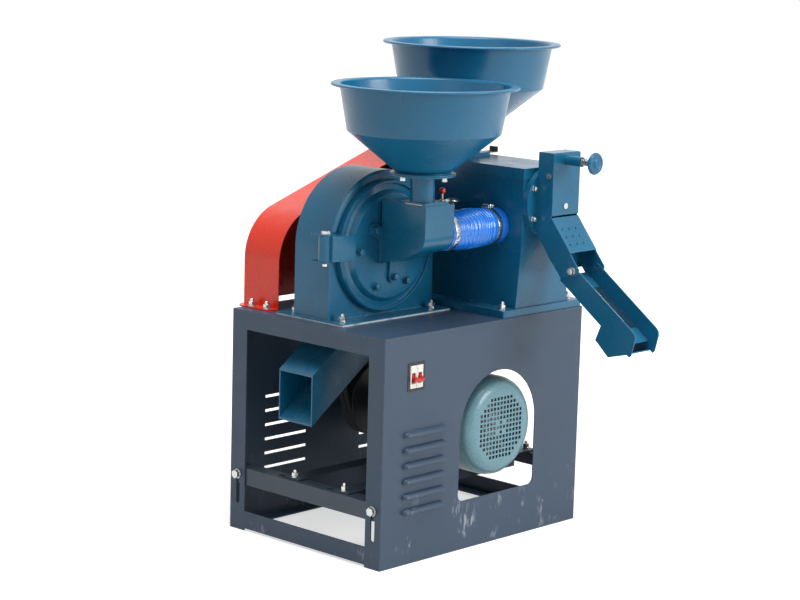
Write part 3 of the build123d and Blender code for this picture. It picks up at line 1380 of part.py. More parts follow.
# Outlet of the mill
def outlet_flange():
    """The round cast flange that the outlet box is bolted to."""
    y0, y1 = MILL_Y - FLANGE_T, MILL_Y
    ring = rod_y(MILL_X, y0, y1, MILL_Z, FLANGE_R) - rod_y(MILL_X, y0 - 1, y1 + 1, MILL_Z,
                                                           SIEVE_R - SIEVE_T)
    ring = ring - block(MILL_X - 7, MILL_X + 7, y0 - 1, y0 + 1.5, MILL_Z + FLANGE_R - 8,
                        MILL_Z + FLANGE_R + 2)
    for x, z in outlet_bolts():
        ring -= rod_y(x, y0 - 1, y1 + 1, z, M6_R + HOLE)
    return ring


def outlet_bolts():
    reach = FLANGE_BOLT_R
    angles = (150, 210, 30, -30)
    return [(MILL_X + reach * cos(radians(a)), MILL_Z + reach * sin(radians(a))) for a in angles]


def outlet_rear():
    return MILL_Y - FLANGE_T


def outlet_walls_x():
    return MILL_X - OUTLET_W / 2, MILL_X + OUTLET_W / 2


def chute_edge_z(y):
    """The slanted top edge of the chute's walls, from the box's lip to the tip."""
    front = outlet_rear() - OUTLET_D
    slope = (CHUTE_TIP_Z - OUTLET_LIP) / (CHUTE_TIP_Y - front)
    return OUTLET_LIP + slope * (y - front)


def outlet_box():
    """A folded steel box with two long cheeks that run down as the upper chute's walls."""
    rear = outlet_rear()
    front = rear - OUTLET_D
    x0, x1 = outlet_walls_x()
    t = OUTLET_T
    cheek = [(rear, OUTLET_TOP), (front, OUTLET_TOP), (front, OUTLET_LIP), (CHUTE_TIP_Y, CHUTE_TIP_Z),
             (CHUTE_TIP_Y + 1, CHUTE_TIP_Z - 10), (PIVOT_Y - 4, PIVOT_Z - 13), (PIVOT_Y + 12, PIVOT_Z - 13),
             (CHUTE_TIP_Y + 44, CHUTE_TIP_Z - 24), (rear - 3.4, CHUTE_HEEL_Z), (rear, CHUTE_HEEL_Z + 8)]
    walls = plate_yz(cheek, x0, x0 + t) + plate_yz(cheek, x1 - t, x1)
    back = block(x0, x1, rear - t, rear, CHUTE_HEEL_Z + 8, OUTLET_TOP)
    top = block(x0, x1, front, rear, OUTLET_TOP - t, OUTLET_TOP)
    floor = plate_yz([(rear - 3.4, CHUTE_HEEL_Z), (rear, CHUTE_HEEL_Z + 8), (rear - t, CHUTE_HEEL_Z + 12),
                      (CHUTE_TIP_Y + 61.5, CHUTE_TIP_Z - 1.5), (CHUTE_TIP_Y + 58, CHUTE_TIP_Z - 8.2)],
                     x0, x1)
    low, fold = CHUTE_TIP_Y + 60, CHUTE_TIP_Z
    step = plate_yz([(low + 22, fold + 24), (low + 4, fold + 24), (low + 2, fold - 1), (low + 8, fold + 4),
                     (low + 20, fold + 18)], x0, x1)
    box = walls + back + top + floor + step
    box -= rod_y(MILL_X, rear - t - 1, rear + 1, MILL_Z, SIEVE_R - SIEVE_T)
    for x, z in outlet_bolts():
        if x0 < x < x1:
            box -= rod_y(x, rear - t - 1, rear + 1, z, M6_R + HOLE)
    box += rod_x(x0 + 1, x1 - 1, FLAP_PIVOT_Y, FLAP_PIVOT_Z, 3)
    for a, b in ((x0 - 1, x0 + 0.6), (x1 - 0.6, x1 + 1)):
        box -= rod_x(a, b, FLAP_PIVOT_Y, FLAP_PIVOT_Z, M6_R + HOLE)
    return box - rod_x(x0 - 1, x1 + 1, PIVOT_Y, PIVOT_Z, PIVOT_R + HOLE)


def outlet_cover():
    """The flat front plate with the boss of the pressure rod."""
    front = outlet_rear() - OUTLET_D
    x0, x1 = outlet_walls_x()
    t = OUTLET_T
    y0 = front - t
    plate = block(x0, x1, y0, front, OUTLET_LIP + 4, OUTLET_TOP - 1)
    plate += rod_y(MILL_X, y0 - BOSS_L, y0 + 1, BOSS_Z, BOSS_R)
    plate -= rod_y(MILL_X, y0 - BOSS_L - 1, front + 1, BOSS_Z, ROD_R + 0.5)
    return plate - rod_y(MILL_X, y0 - 1, front + 1, OUTLET_LIP + 22, M6_R + HOLE)


def guard_plate():
    """The pierced plate on the chute's walls, with nine louvred slots."""
    front = outlet_rear() - OUTLET_D
    x0, x1 = outlet_walls_x()
    slope = atan2(OUTLET_LIP - CHUTE_TIP_Z, front - CHUTE_TIP_Y)
    sheet = block(x0, x1, -GUARD_PLATE_L, -1.0, 0.15, 0.15 + 1.6)
    for i in range(3):
        for j in range(3):
            x = x0 + OUTLET_W * (j + 1) / 4
            y = -GUARD_PLATE_L + 16 + i * 18
            sheet -= block(x - 8, x + 8, y, y + 4, -1, 3)
            hood = plate_yz([(y + 4, 1.7), (y + 4, 4.4), (y + 3, 4.4), (y - 2, 1.7)], x - 8, x + 8)
            sheet += hood
    return Pos(0, front, OUTLET_LIP) * Rot(degrees(slope), 0, 0) * sheet


def outlet_screws():
    """The bolts of the round flange, the cover's screw and the box's side screws."""
    pieces = []
    x0, x1 = outlet_walls_x()
    rear = outlet_rear()
    front = rear - OUTLET_D
    for x, z in outlet_bolts():
        grip_from = rear - (OUTLET_T if x0 < x < x1 else 0)
        pieces.append(bolt(Pos(x, grip_from, z) * FRONT, M6_R, M6_HEX, FLANGE_T - 1))
    pieces.append(bolt(Pos(MILL_X, front - OUTLET_T, OUTLET_LIP + 22) * FRONT, M6_R, M6_HEX, OUTLET_T))
    for x, turn in ((x0, LEFT), (x1, RIGHT)):
        pieces.append(bolt(Pos(x, FLAP_PIVOT_Y, FLAP_PIVOT_Z) * turn, M6_R, M6_HEX, 0.4))
    return pieces


def pivot_bolts():
    """The two bolts that the sieve trough swings on."""
    x0, x1 = outlet_walls_x()
    grip = OUTLET_T + TROUGH_T + 2 * FREE
    pieces = []
    for x, turn in ((x0, LEFT), (x1, RIGHT)):
        pieces.append(bolt(Pos(x, PIVOT_Y, PIVOT_Z) * turn, PIVOT_R, M8_HEX, grip, tail=6))
    return pieces


def pressure_flap():
    """The flap that holds the grain back: a disc on a lever with its pivot above the outlet."""
    face = outlet_rear() - OUTLET_T - FREE
    disc = rod_y(MILL_X, face - FLAP_T, face, MILL_Z, FLAP_R)
    near, far, fork_z = FLAP_PIVOT_Y - 3, FLAP_PIVOT_Y + 3, FLAP_PIVOT_Z + 10
    arm = plate_yz([(near, fork_z), (far, fork_z), (far, FLAP_PIVOT_Z), (face - 1, MILL_Z + 22),
                    (face - 1, MILL_Z + 2), (face - 8, MILL_Z + 2), (near, FLAP_PIVOT_Z - 8)],
                   MILL_X - 9, MILL_X + 9)
    flap = disc + arm + rod_x(MILL_X - 20, MILL_X + 20, FLAP_PIVOT_Y, FLAP_PIVOT_Z, 6)
    flap -= rod_x(MILL_X - 40, MILL_X + 40, FLAP_PIVOT_Y, FLAP_PIVOT_Z, 3 + RUN)
    slot = ROD_R + 1
    prongs = [block(MILL_X + a, MILL_X + b, near, far, fork_z, BOSS_Z + 5) for a,
              b in ((-9, -slot), (slot, 9))]
    return group([flap] + prongs)


def pressure_rod():
    """The threaded rod through the cover's boss, with the ball collar that the flap's lever bears on."""
    ball_y = outlet_rear() - OUTLET_T - BALL_R - 1.0
    rod = rod_y(MILL_X, KNOB_Y + 0.1, ball_y, BOSS_Z, ROD_R)
    return rod + Pos(MILL_X, ball_y, BOSS_Z) * Sphere(BALL_R)


def knob_back():
    return KNOB_Y + 12


def pressure_knob():
    """A turned hand wheel with a raised middle and a short hub."""
    y0, y1 = KNOB_Y, knob_back()
    r = KNOB_R
    wheel = turned_y(MILL_X, BOSS_Z, [
        (0, y0 - 3), (8, y0 - 3), (11, y0 - 1), (12, y0 + 1), (r - 4, y0 + 1), (r - 1, y0 + 2), (r, y0 + 5),
        (r - 1, y0 + 7.5), (r - 5, y0 + 8), (9, y0 + 8), (8, y1), (0, y1)])
    return wheel - rod_y(MILL_X, y0, y1 + 1, BOSS_Z, ROD_R + RUN)


def boss_end():
    return outlet_rear() - OUTLET_D - OUTLET_T - BOSS_L


def pressure_spring():
    """The spring between the knob's seat and the boss, drawn as its coils' rings."""
    y0 = knob_back() + 0.3
    y1 = boss_end() - 0.3
    wire_r = 0.9
    coils = 5
    pitch = (y1 - y0 - 2 * wire_r) / coils
    path = Helix(pitch, pitch * coils, 6.2, direction=(0, 1, 0))
    place = Pos(MILL_X, y0 + wire_r, BOSS_Z)
    start = path @ 0
    section = Plane(origin=start, z_dir=path % 0) * Circle(wire_r)
    return place * sweep(section, path=path)


# Sieve trough, drawn level and then tipped about its pivot
def tipped(shape):
    return Pos(0, PIVOT_Y, PIVOT_Z) * Rot(TROUGH_SLOPE, 0, 0) * shape


def trough_walls_x():
    x0, x1 = outlet_walls_x()
    return x0 + OUTLET_T + FREE, x1 - OUTLET_T - FREE


def trough_floor_z():
    return TROUGH_ABOVE - TROUGH_H + 12


def sieve_trough():
    """A folded trough: two cheeks with rounded ends and a floor that the mesh lies in."""
    x0, x1 = trough_walls_x()
    t = TROUGH_T
    low, high = TROUGH_ABOVE - TROUGH_H, TROUGH_ABOVE
    tip = -TROUGH_L
    cheek = [(TROUGH_BACK, low), (TROUGH_BACK, high - 18), (4, high), (tip + 8, high), (tip, high - 2),
             (tip - 6, high - 8), (tip - 18.5, low + 6), (tip - 17, low)]
    floor_z = trough_floor_z()
    walls = plate_yz(cheek, x0, x0 + t) + plate_yz(cheek, x1 - t, x1)
    floor = block(x0, x1, tip + 6, TROUGH_BACK, floor_z - t, floor_z)
    floor -= block(x0 + 10, x1 - 10, -MESH_START - MESH_L + 4, -MESH_START - 4, floor_z - t - 1,
                   floor_z + 1)
    trough = walls + floor + bran_spout()
    hole = rod_x(x0 - 1, x1 + 1, 0, 0, PIVOT_R + 0.08)
    return tipped(trough - hole)


def trough_mesh():
    """The sieve sheet over the floor's opening."""
    x0, x1 = trough_walls_x()
    t = TROUGH_T
    z = trough_floor_z()
    sheet = block(x0 + t + 0.2, x1 - t - 0.2, -MESH_START - MESH_L, -MESH_START, z, z + MESH_T)
    return tipped(sheet)


def bran_spout():
    """The open-bottomed hopper welded under the mesh, which drops the bran."""
    x0, x1 = trough_walls_x()
    t = TROUGH_T
    low = TROUGH_ABOVE - TROUGH_H
    y0, y1 = -SPOUT_START, -SPOUT_START - SPOUT_L
    outline = [(y0, low + 0.5), (y0 - 7.6, low - SPOUT_DROP + 5), (y0 - 52.8, low - SPOUT_DROP),
               (y1, low + 0.5)]
    inner = [(y0 - t, low + 1), (y0 - 7.6 - t, low - SPOUT_DROP + 3), (y0 - 20, low - SPOUT_DROP - 6),
             (y0 - 60, low - SPOUT_DROP - 6), (y0 - 53, low - SPOUT_DROP + 3), (y1 + 3, low + 1)]
    return plate_yz(outline, x0, x1) - plate_yz(inner, x0 + t, x1 - t)


# Belt guard
def guard_outline(inset):
    """The guard's outline: up the left side, over a shoulder, up a slant, over the mill's pulley."""
    r_top = GUARD_TOP_R - inset
    r_low = GUARD_SHOULDER_R - inset
    low_c = (GUARD_X + GUARD_SHOULDER_R, CAB_H + GUARD_SHOULDER_H)
    top_c = (MILL_X, MILL_Z)
    dx, dz = top_c[0] - low_c[0], top_c[1] - low_c[1]
    base = atan2(dz, dx)
    lean = pi / 2 + asin_safe((r_top - r_low) / hypot(dx, dz))
    angle = base + lean
    normal = (cos(angle), sin(angle))
    z0 = CAB_H
    p1 = (low_c[0] - r_low, z0)
    p2 = (low_c[0] - r_low, low_c[1])
    p3 = (low_c[0] + r_low * normal[0], low_c[1] + r_low * normal[1])
    p4 = (top_c[0] + r_top * normal[0], top_c[1] + r_top * normal[1])
    p5 = (top_c[0] + r_top, top_c[1])
    p6 = (top_c[0] + r_top, z0)
    mid1 = (pi + angle) / 2
    mid2 = angle / 2
    m1 = (low_c[0] + r_low * cos(mid1), low_c[1] + r_low * sin(mid1))
    m2 = (top_c[0] + r_top * cos(mid2), top_c[1] + r_top * sin(mid2))

    def at(p):
        return (p[0], 0, p[1])

    wire = Wire([Line(at(p1), at(p2)), ThreePointArc(at(p2), at(m1), at(p3)), Line(at(p3), at(p4)),
                 ThreePointArc(at(p4), at(m2), at(p5)), Line(at(p5), at(p6)), Line(at(p6), at(p1))])
    return make_face(wire)


def guard_right():
    return MILL_X + GUARD_TOP_R


def guard_bolt_places():
    y_mid = (GUARD_Y0 + CAB_D) / 2
    reach = GUARD_FOOT / 2 + 2
    ys = (y_mid - 22, y_mid + 22)
    return [(x, y) for x in (GUARD_X - reach, guard_right() + reach) for y in ys]


def belt_guard():
    """A sheet channel over both drives: a rim strip and a back plate, open to the front."""
    deep = GUARD_Y1 - GUARD_Y0
    outer = Pos(0, GUARD_Y0, 0) * extrude(guard_outline(0), amount=deep, dir=(0, 1, 0))
    inner = Pos(0, GUARD_Y0 - 1, 0) * extrude(guard_outline(GUARD_T), amount=deep + 1 - GUARD_T,
                                              dir=(0, 1, 0))
    guard = outer - inner
    below = block(GUARD_X + GUARD_T, guard_right() - GUARD_T, GUARD_Y0 - 2, GUARD_Y1 + 1,
                  CAB_H - 1, CAB_H + GUARD_GAP)
    guard -= below
    for x0, x1 in ((GUARD_X - GUARD_FOOT, GUARD_X + GUARD_T), (guard_right() - GUARD_T,
                                                               guard_right() + GUARD_FOOT)):
        foot = block(x0, x1, GUARD_Y0, GUARD_Y1, CAB_H, CAB_H + 3)
        outer_x = x0 if x0 < GUARD_X else x1
        rounds = [e for e in foot.edges().filter_by(Axis.Z) if abs(e.center().X - outer_x) < 1]
        guard += fillet(rounds, GUARD_FOOT * 0.8)
    for x, y in guard_bolt_places():
        guard -= rod_z(x, y, CAB_H - 1, CAB_H + 4, M8_R + HOLE)
    return guard


def table_bolts():
    """The bolts that hold crusher, mill and guard to the cabinet's top."""
    pieces = []
    for places, seat in ((crusher_bolts(), CR_BASE_T), (mill_bolts(), PLINTH_H),
                         (guard_bolt_places(), 3.0)):
        for x, y in places:
            grip = seat + TOP_T
            pieces.append(bolt(Pos(x, y, CAB_H + seat), M8_R, M8_HEX, grip, tail=7))
    return pieces


def machine_bolts():
    """All the zinc-plated bolts of the still part: table, outlet, pivots and the rear hopper's flange."""
    pieces = table_bolts() + outlet_screws() + pivot_bolts()
    low = REAR_HOPPER_LOW - 2 * HOPPER_FLANGE_T
    for x, y in flange_bolts(REAR_HOPPER_X, REAR_HOPPER_Y):
        pieces.append(bolt(Pos(x, y, low) * Rot(180, 0, 0), M6_R, M6_HEX, 2 * HOPPER_FLANGE_T - 0.2))
    return group(pieces)


NODES = {
    "cabinet_top": cabinet_top,
    "front_panel": front_panel,
    "back_panel": back_panel,
    "left_end_frame": lambda: end_frame(0, 1),
    "right_end_frame": lambda: end_frame(CAB_W, -1),
    "breaker_body": breaker_body,
    "breaker_toggle": breaker_toggle,
    "cross_rails": cross_rails,
    "motor_rails": motor_rails,
    "carriage_bolts": carriage_bolts,
    "motor_body": motor_body,
    "fan_cover": fan_cover,
    "terminal_box": terminal_box,
    "motor_shaft": motor_shaft,
    "motor_fan": motor_fan,
    "motor_pulley": motor_pulley,
    "crusher_belts": crusher_belts,
    "mill_belts": mill_belts,
    "crusher_housing": crusher_housing,
    "crusher_screen": crusher_screen,
    "crusher_bearing_hub": crusher_hub,
    "crusher_rotor": crusher_rotor,
    "crusher_pulley": crusher_pulley,
    "discharge_chute": discharge_chute,
    "crusher_door": crusher_door,
    "hinge_pin": hinge_pin,
    "latch_screw": latch_screw,
    "stator_ring": stator_ring,
    "feed_box": feed_box,
    "front_neck": front_neck,
    "feed_gate": feed_gate,
    "front_hopper": lambda: hopper_with_holes(FRONT_HOPPER_X, FRONT_HOPPER_Y, FRONT_HOPPER_LOW),
    "door_fasteners": door_fasteners,
    "hose": hose,
    "hose_clamp_crusher_end": lambda: hose_clamp(hose_span()[0] + 6 + CLAMP_W / 2),
    "hose_clamp_mill_end": lambda: hose_clamp(hose_span()[1] - 20 - CLAMP_W / 2),
    "mill_base": mill_base,
    "mill_housing": mill_housing,
    "mill_cover": mill_cover,
    "mill_barrel": mill_barrel,
    "mill_sieve": mill_sieve,
    "mill_rotor": mill_rotor,
    "mill_bearing_hub": mill_hub,
    "mill_pulley": mill_pulley,
    "bearings": bearings,
    "rear_neck": rear_neck,
    "mill_gate": mill_gate,
    "rear_hopper": lambda: hopper_with_holes(REAR_HOPPER_X, REAR_HOPPER_Y, REAR_HOPPER_LOW),
    "outlet_flange": outlet_flange,
    "outlet_box": outlet_box,
    "outlet_cover": outlet_cover,
    "outlet_guard_plate": guard_plate,
    "pressure_flap": pressure_flap,
    "pressure_rod": pressure_rod,
    "pressure_knob": pressure_knob,
    "pressure_spring": pressure_spring,
    "sieve_trough": sieve_trough,
    "trough_mesh": trough_mesh,
    "belt_guard": belt_guard,
    "machine_bolts": machine_bolts,
}

shapes = {name: make() for name, make in NODES.items()}
boxes = [shape.bounding_box() for shape in shapes.values()]
low_x, high_x = min(b.min.X for b in boxes), max(b.max.X for b in boxes)
low_y, high_y = min(b.min.Y for b in boxes), max(b.max.Y for b in boxes)
low_z = min(b.min.Z for b in boxes)
SHIFT = (-(low_x + high_x) / 2, -(low_y + high_y) / 2, -low_z)
for name, shape in shapes.items():
    solids = [Pos(*SHIFT) * solid for solid in shape.solids()]
    export_step(solids[0] if len(solids) == 1 else Compound(children=solids), f"parts/{name}.step")
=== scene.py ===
import json
import random
from math import cos, hypot, pi, radians, sin

import bmesh
import bpy
from mathutils import Euler, Matrix, Quaternion, Vector, noise


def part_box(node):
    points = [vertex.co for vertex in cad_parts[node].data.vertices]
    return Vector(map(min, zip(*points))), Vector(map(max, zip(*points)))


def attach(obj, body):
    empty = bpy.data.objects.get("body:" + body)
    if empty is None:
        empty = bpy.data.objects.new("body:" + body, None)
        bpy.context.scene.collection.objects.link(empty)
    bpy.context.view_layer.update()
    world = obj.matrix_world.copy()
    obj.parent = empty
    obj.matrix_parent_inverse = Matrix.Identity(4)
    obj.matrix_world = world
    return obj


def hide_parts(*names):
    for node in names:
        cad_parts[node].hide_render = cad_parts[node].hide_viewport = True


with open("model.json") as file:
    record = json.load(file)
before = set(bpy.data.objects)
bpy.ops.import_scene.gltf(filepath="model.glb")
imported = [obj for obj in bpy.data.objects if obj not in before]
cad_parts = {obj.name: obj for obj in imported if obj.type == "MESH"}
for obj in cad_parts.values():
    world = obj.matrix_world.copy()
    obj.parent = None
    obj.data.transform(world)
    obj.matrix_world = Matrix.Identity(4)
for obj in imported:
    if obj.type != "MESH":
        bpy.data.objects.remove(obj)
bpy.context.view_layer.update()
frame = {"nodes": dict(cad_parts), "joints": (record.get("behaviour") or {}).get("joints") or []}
nodes = frame["nodes"]


# The studio: a white floor in white surroundings, one wide lamp overhead, one to the right of the
# camera and a weak one to its left. The floor's lit level grows with the distance from the machine. The
# camera stands where the photograph was taken from.
FLOOR_HALF = 9.0
FLOOR_WHITE = "#DEDEDC"
FLOOR_ROUGH = 0.8
FLOOR_LIFT = 0.60
FLOOR_FADE = (0.75, 2.2)
SKY_LEVEL = 0.20
CAMERA_PLACE = Vector((-3.4046, -3.0271, 1.2866))
CAMERA_AZIMUTH = -136.705
CAMERA_ELEVATION = 9.988
CAMERA_ROLL = 1.613
CAMERA_LENS = 102.12
SENSOR_WIDTH = 36.0
LAMPS = {
    "overhead": {"place": Vector((-0.4, -0.5, 3.6)), "side": 2.6, "watts": 110.0},
    "right": {"place": Vector((1.6, -4.0, 2.0)), "side": 2.2, "watts": 118.0},
    "left": {"place": Vector((-4.2, -0.4, 1.9)), "side": 2.4, "watts": 12.0},
}
LAMP_AIM = Vector((0.0, 0.0, 0.55))


def linear(code):
    """The linear colour that a shader takes, from an sRGB hex code."""
    channels = [int(code[i:i + 2], 16) / 255 for i in (1, 3, 5)]
    return tuple(c / 12.92 if c <= 0.04045 else ((c + 0.055) / 1.055) ** 2.4 for c in channels) + (1.0,)


def add(tree, kind, inputs=None, links=None, **settings):
    """Adds one node with its settings, its inputs' values and the links into its inputs."""
    node = tree.nodes.new(kind)
    for name, value in settings.items():
        setattr(node, name, value)
    for name, value in (inputs or {}).items():
        node.inputs[name].default_value = value
    for name, source in (links or {}).items():
        tree.links.new(source, node.inputs[name])
    return node


def seen_directly(tree):
    """1 for rays that come from the camera, a mirror or glass, and 0 for those that only light things."""
    path = add(tree, "ShaderNodeLightPath").outputs
    first = add(tree, "ShaderNodeMath", None, {0: path["Is Camera Ray"], 1: path["Is Glossy Ray"]},
                operation="MAXIMUM")
    both = add(tree, "ShaderNodeMath", None, {0: first.outputs[0], 1: path["Is Transmission Ray"]},
               operation="MAXIMUM")
    return both.outputs[0]


def linked(obj):
    """Puts an object into the scene."""
    bpy.context.scene.collection.objects.link(obj)
    return obj


def white_surroundings():
    """White to the camera, and a weaker level for what it lights."""
    world = bpy.data.worlds.new("studio")
    world.use_nodes = True
    tree = world.node_tree
    level = add(tree, "ShaderNodeMix", {2: SKY_LEVEL, 3: 1.0}, {0: seen_directly(tree)}, data_type="FLOAT")
    sky = tree.nodes["Background"]
    sky.inputs["Color"].default_value = (1.0, 1.0, 1.0, 1.0)
    tree.links.new(level.outputs[0], sky.inputs["Strength"])
    return world


def floor_paint():
    """Matt white paint, lifted to the white of the surroundings where it is seen far from the machine."""
    material = bpy.data.materials.new("matt_white_floor")
    material.use_nodes = True
    tree = material.node_tree
    shader = tree.nodes["Principled BSDF"]
    shader.inputs["Base Color"].default_value = linear(FLOOR_WHITE)
    shader.inputs["Roughness"].default_value = FLOOR_ROUGH
    shader.inputs["Emission Color"].default_value = (1.0, 1.0, 1.0, 1.0)
    place = add(tree, "ShaderNodeTexCoord").outputs["Object"]
    away = add(tree, "ShaderNodeVectorMath", None, {0: place}, operation="LENGTH").outputs["Value"]
    near, far = FLOOR_FADE
    level = add(tree, "ShaderNodeMapRange", {1: near, 2: far, 3: FLOOR_LIFT, 4: 1.0}, {0: away})
    lift = add(tree, "ShaderNodeMath", None, {0: level.outputs[0], 1: seen_directly(tree)},
               operation="MULTIPLY")
    tree.links.new(lift.outputs[0], shader.inputs["Emission Strength"])
    return material


def studio():
    bpy.context.scene.world = white_surroundings()
    bpy.context.scene.view_settings.view_transform = "Standard"
    sheet = bpy.data.meshes.new("studio_floor")
    h = FLOOR_HALF
    sheet.from_pydata([(-h, -h, 0), (h, -h, 0), (h, h, 0), (-h, h, 0)], [], [(0, 1, 2, 3)])
    sheet.materials.append(floor_paint())
    linked(bpy.data.objects.new("studio_floor", sheet))
    for name, lamp in LAMPS.items():
        light = bpy.data.lights.new("lamp_" + name, "AREA")
        light.shape = "DISK"
        light.size = lamp["side"]
        light.energy = lamp["watts"]
        holder = linked(bpy.data.objects.new("lamp_" + name, light))
        holder.location = lamp["place"]
        holder.rotation_euler = (LAMP_AIM - lamp["place"]).to_track_quat("-Z", "Y").to_euler()


def camera():
    azimuth, elevation, roll = (radians(a) for a in (CAMERA_AZIMUTH, CAMERA_ELEVATION, CAMERA_ROLL))
    back = Vector((cos(azimuth) * cos(elevation), sin(azimuth) * cos(elevation), sin(elevation)))
    level = Vector((0, 0, 1)).cross(back).normalized()
    up = back.cross(level)
    right = level * cos(roll) + up * sin(roll)
    up = back.cross(right)
    lens = bpy.data.cameras.new("camera")
    lens.sensor_width = SENSOR_WIDTH
    lens.lens = CAMERA_LENS
    holder = linked(bpy.data.objects.new("camera", lens))
    holder.matrix_world = Matrix.Translation(CAMERA_PLACE) @ Matrix((right, up, back)).transposed().to_4x4()
    bpy.context.scene.camera = holder


studio()
camera()


# The cabinet: four angle posts, a steel top and two folded panels, sprayed in grey-blue and stoved.
# The paint is satin, with a fine peel, pale on corners (partly rubbed paint, partly a painted edge highlight)
# and scuffed near the floor, where the machine was slid about.
CABINET_PAINT = "#374B61"
CABINET_PAINT_DEEP = "#314357"
# The pale edge colour stands for paint rubbed thin and for a painted highlight on lit edges.
CABINET_WORN_AND_HIGHLIT_EDGE = "#8C96A3"
SCUFF_TOP = 0.15
SCUFF_PATCH = 0.055
SCUFF_PALE = "#A9B1BA"
SCRATCH_W = 0.006
EDGE_ROUND = 0.0009
SMOOTH_ANGLE = 34.0
MERGE_GAP = 0.000002
PAINT_DRIFT = 0.16
DUST_PATCH = 0.03
RUBBED_PATCH = 0.012
GLOSS_PATCH = 0.045
COAT_ROUGH = 0.12
ENAMEL_IOR = 1.42


def skin_tree():
    """Joins a CAD mesh's loose triangles and shades it smooth, except across its sharp edges."""
    tree = bpy.data.node_groups.new("welded_skin", "GeometryNodeTree")
    tree.interface.new_socket("Geometry", in_out="INPUT", socket_type="NodeSocketGeometry")
    angle = tree.interface.new_socket("Sharp Angle", in_out="INPUT", socket_type="NodeSocketFloat")
    angle.default_value = radians(SMOOTH_ANGLE)
    tree.interface.new_socket("Geometry", in_out="OUTPUT", socket_type="NodeSocketGeometry")
    source = add(tree, "NodeGroupInput").outputs
    joined = add(tree, "GeometryNodeMergeByDistance", {"Distance": MERGE_GAP},
                 {"Geometry": source["Geometry"]})
    plain = add(tree, "GeometryNodeRemoveAttribute", {"Name": "custom_normal"},
                {"Geometry": joined.outputs[0]})
    smooth = add(tree, "GeometryNodeSetShadeSmooth", {"Shade Smooth": True}, {"Geometry": plain.outputs[0]})
    bend = add(tree, "GeometryNodeInputMeshEdgeAngle").outputs["Unsigned Angle"]
    sharp = add(tree, "FunctionNodeCompare", None, {0: bend, 1: source["Sharp Angle"]},
                data_type="FLOAT", operation="GREATER_THAN")
    creased = add(tree, "GeometryNodeSetShadeSmooth", {"Shade Smooth": False},
                  {"Geometry": smooth.outputs[0], "Selection": sharp.outputs[0]}, domain="EDGE")
    result = add(tree, "NodeGroupOutput")
    tree.links.new(creased.outputs[0], result.inputs[0])
    return tree


SKIN = skin_tree()


def dress(node, material):
    """Gives a CAD node its finish, and the smooth skin."""
    piece = nodes[node]
    if not piece.data.materials:
        piece.data.materials.append(material)
    for place in piece.material_slots:
        place.material = material
    piece.modifiers.new("skin", "NODES").node_group = SKIN


def new_material(name):
    """A new material, with its node tree and its main shader."""
    material = bpy.data.materials.new(name)
    material.use_nodes = True
    return material, material.node_tree, material.node_tree.nodes["Principled BSDF"]


def grain(tree, place, size, detail=2.0, stretch=None):
    """Noise whose patches are about size metres across."""
    if stretch:
        place = add(tree, "ShaderNodeMapping", {"Scale": stretch}, {"Vector": place}).outputs[0]
    noise_node = add(tree, "ShaderNodeTexNoise", {"Scale": 1.0 / size, "Detail": detail}, {"Vector": place})
    return noise_node.outputs["Fac"]


def spread(tree, value, low, high, to_low, to_high):
    """Maps a value from one range onto another, held at both ends."""
    return add(tree, "ShaderNodeMapRange", {1: low, 2: high, 3: to_low, 4: to_high}, {0: value}).outputs[0]


def product(tree, a, b):
    """One share times another."""
    return add(tree, "ShaderNodeMath", None, {0: a, 1: b}, operation="MULTIPLY").outputs[0]


def blended(tree, share, a, b):
    """Mixes two colours, each a hex code or another node's colour."""
    mix = add(tree, "ShaderNodeMix", data_type="RGBA", clamp_factor=True)
    tree.links.new(share, mix.inputs[0])
    for place, colour in ((6, a), (7, b)):
        if isinstance(colour, str):
            mix.inputs[place].default_value = linear(colour)
        else:
            tree.links.new(colour, mix.inputs[place])
    return mix.outputs[2]


def soft_edges(tree, radius):
    """The normal as if the edges were rounded, and how near to such an edge a point is, from 0 to 1."""
    rounded_normal = add(tree, "ShaderNodeBevel", {"Radius": radius}, samples=4).outputs[0]
    flat = add(tree, "ShaderNodeNewGeometry").outputs["Normal"]
    agree = add(tree, "ShaderNodeVectorMath", None, {0: rounded_normal, 1: flat}, operation="DOT_PRODUCT")
    return rounded_normal, spread(tree, agree.outputs["Value"], 0.985, 0.82, 0.0, 1.0)


def facing_up(tree):
    """1 on level tops, 0 on walls."""
    normal = add(tree, "ShaderNodeNewGeometry").outputs["Normal"]
    up = add(tree, "ShaderNodeSeparateXYZ", None, {0: normal}).outputs["Z"]
    return spread(tree, up, 0.55, 0.98, 0.0, 1.0)


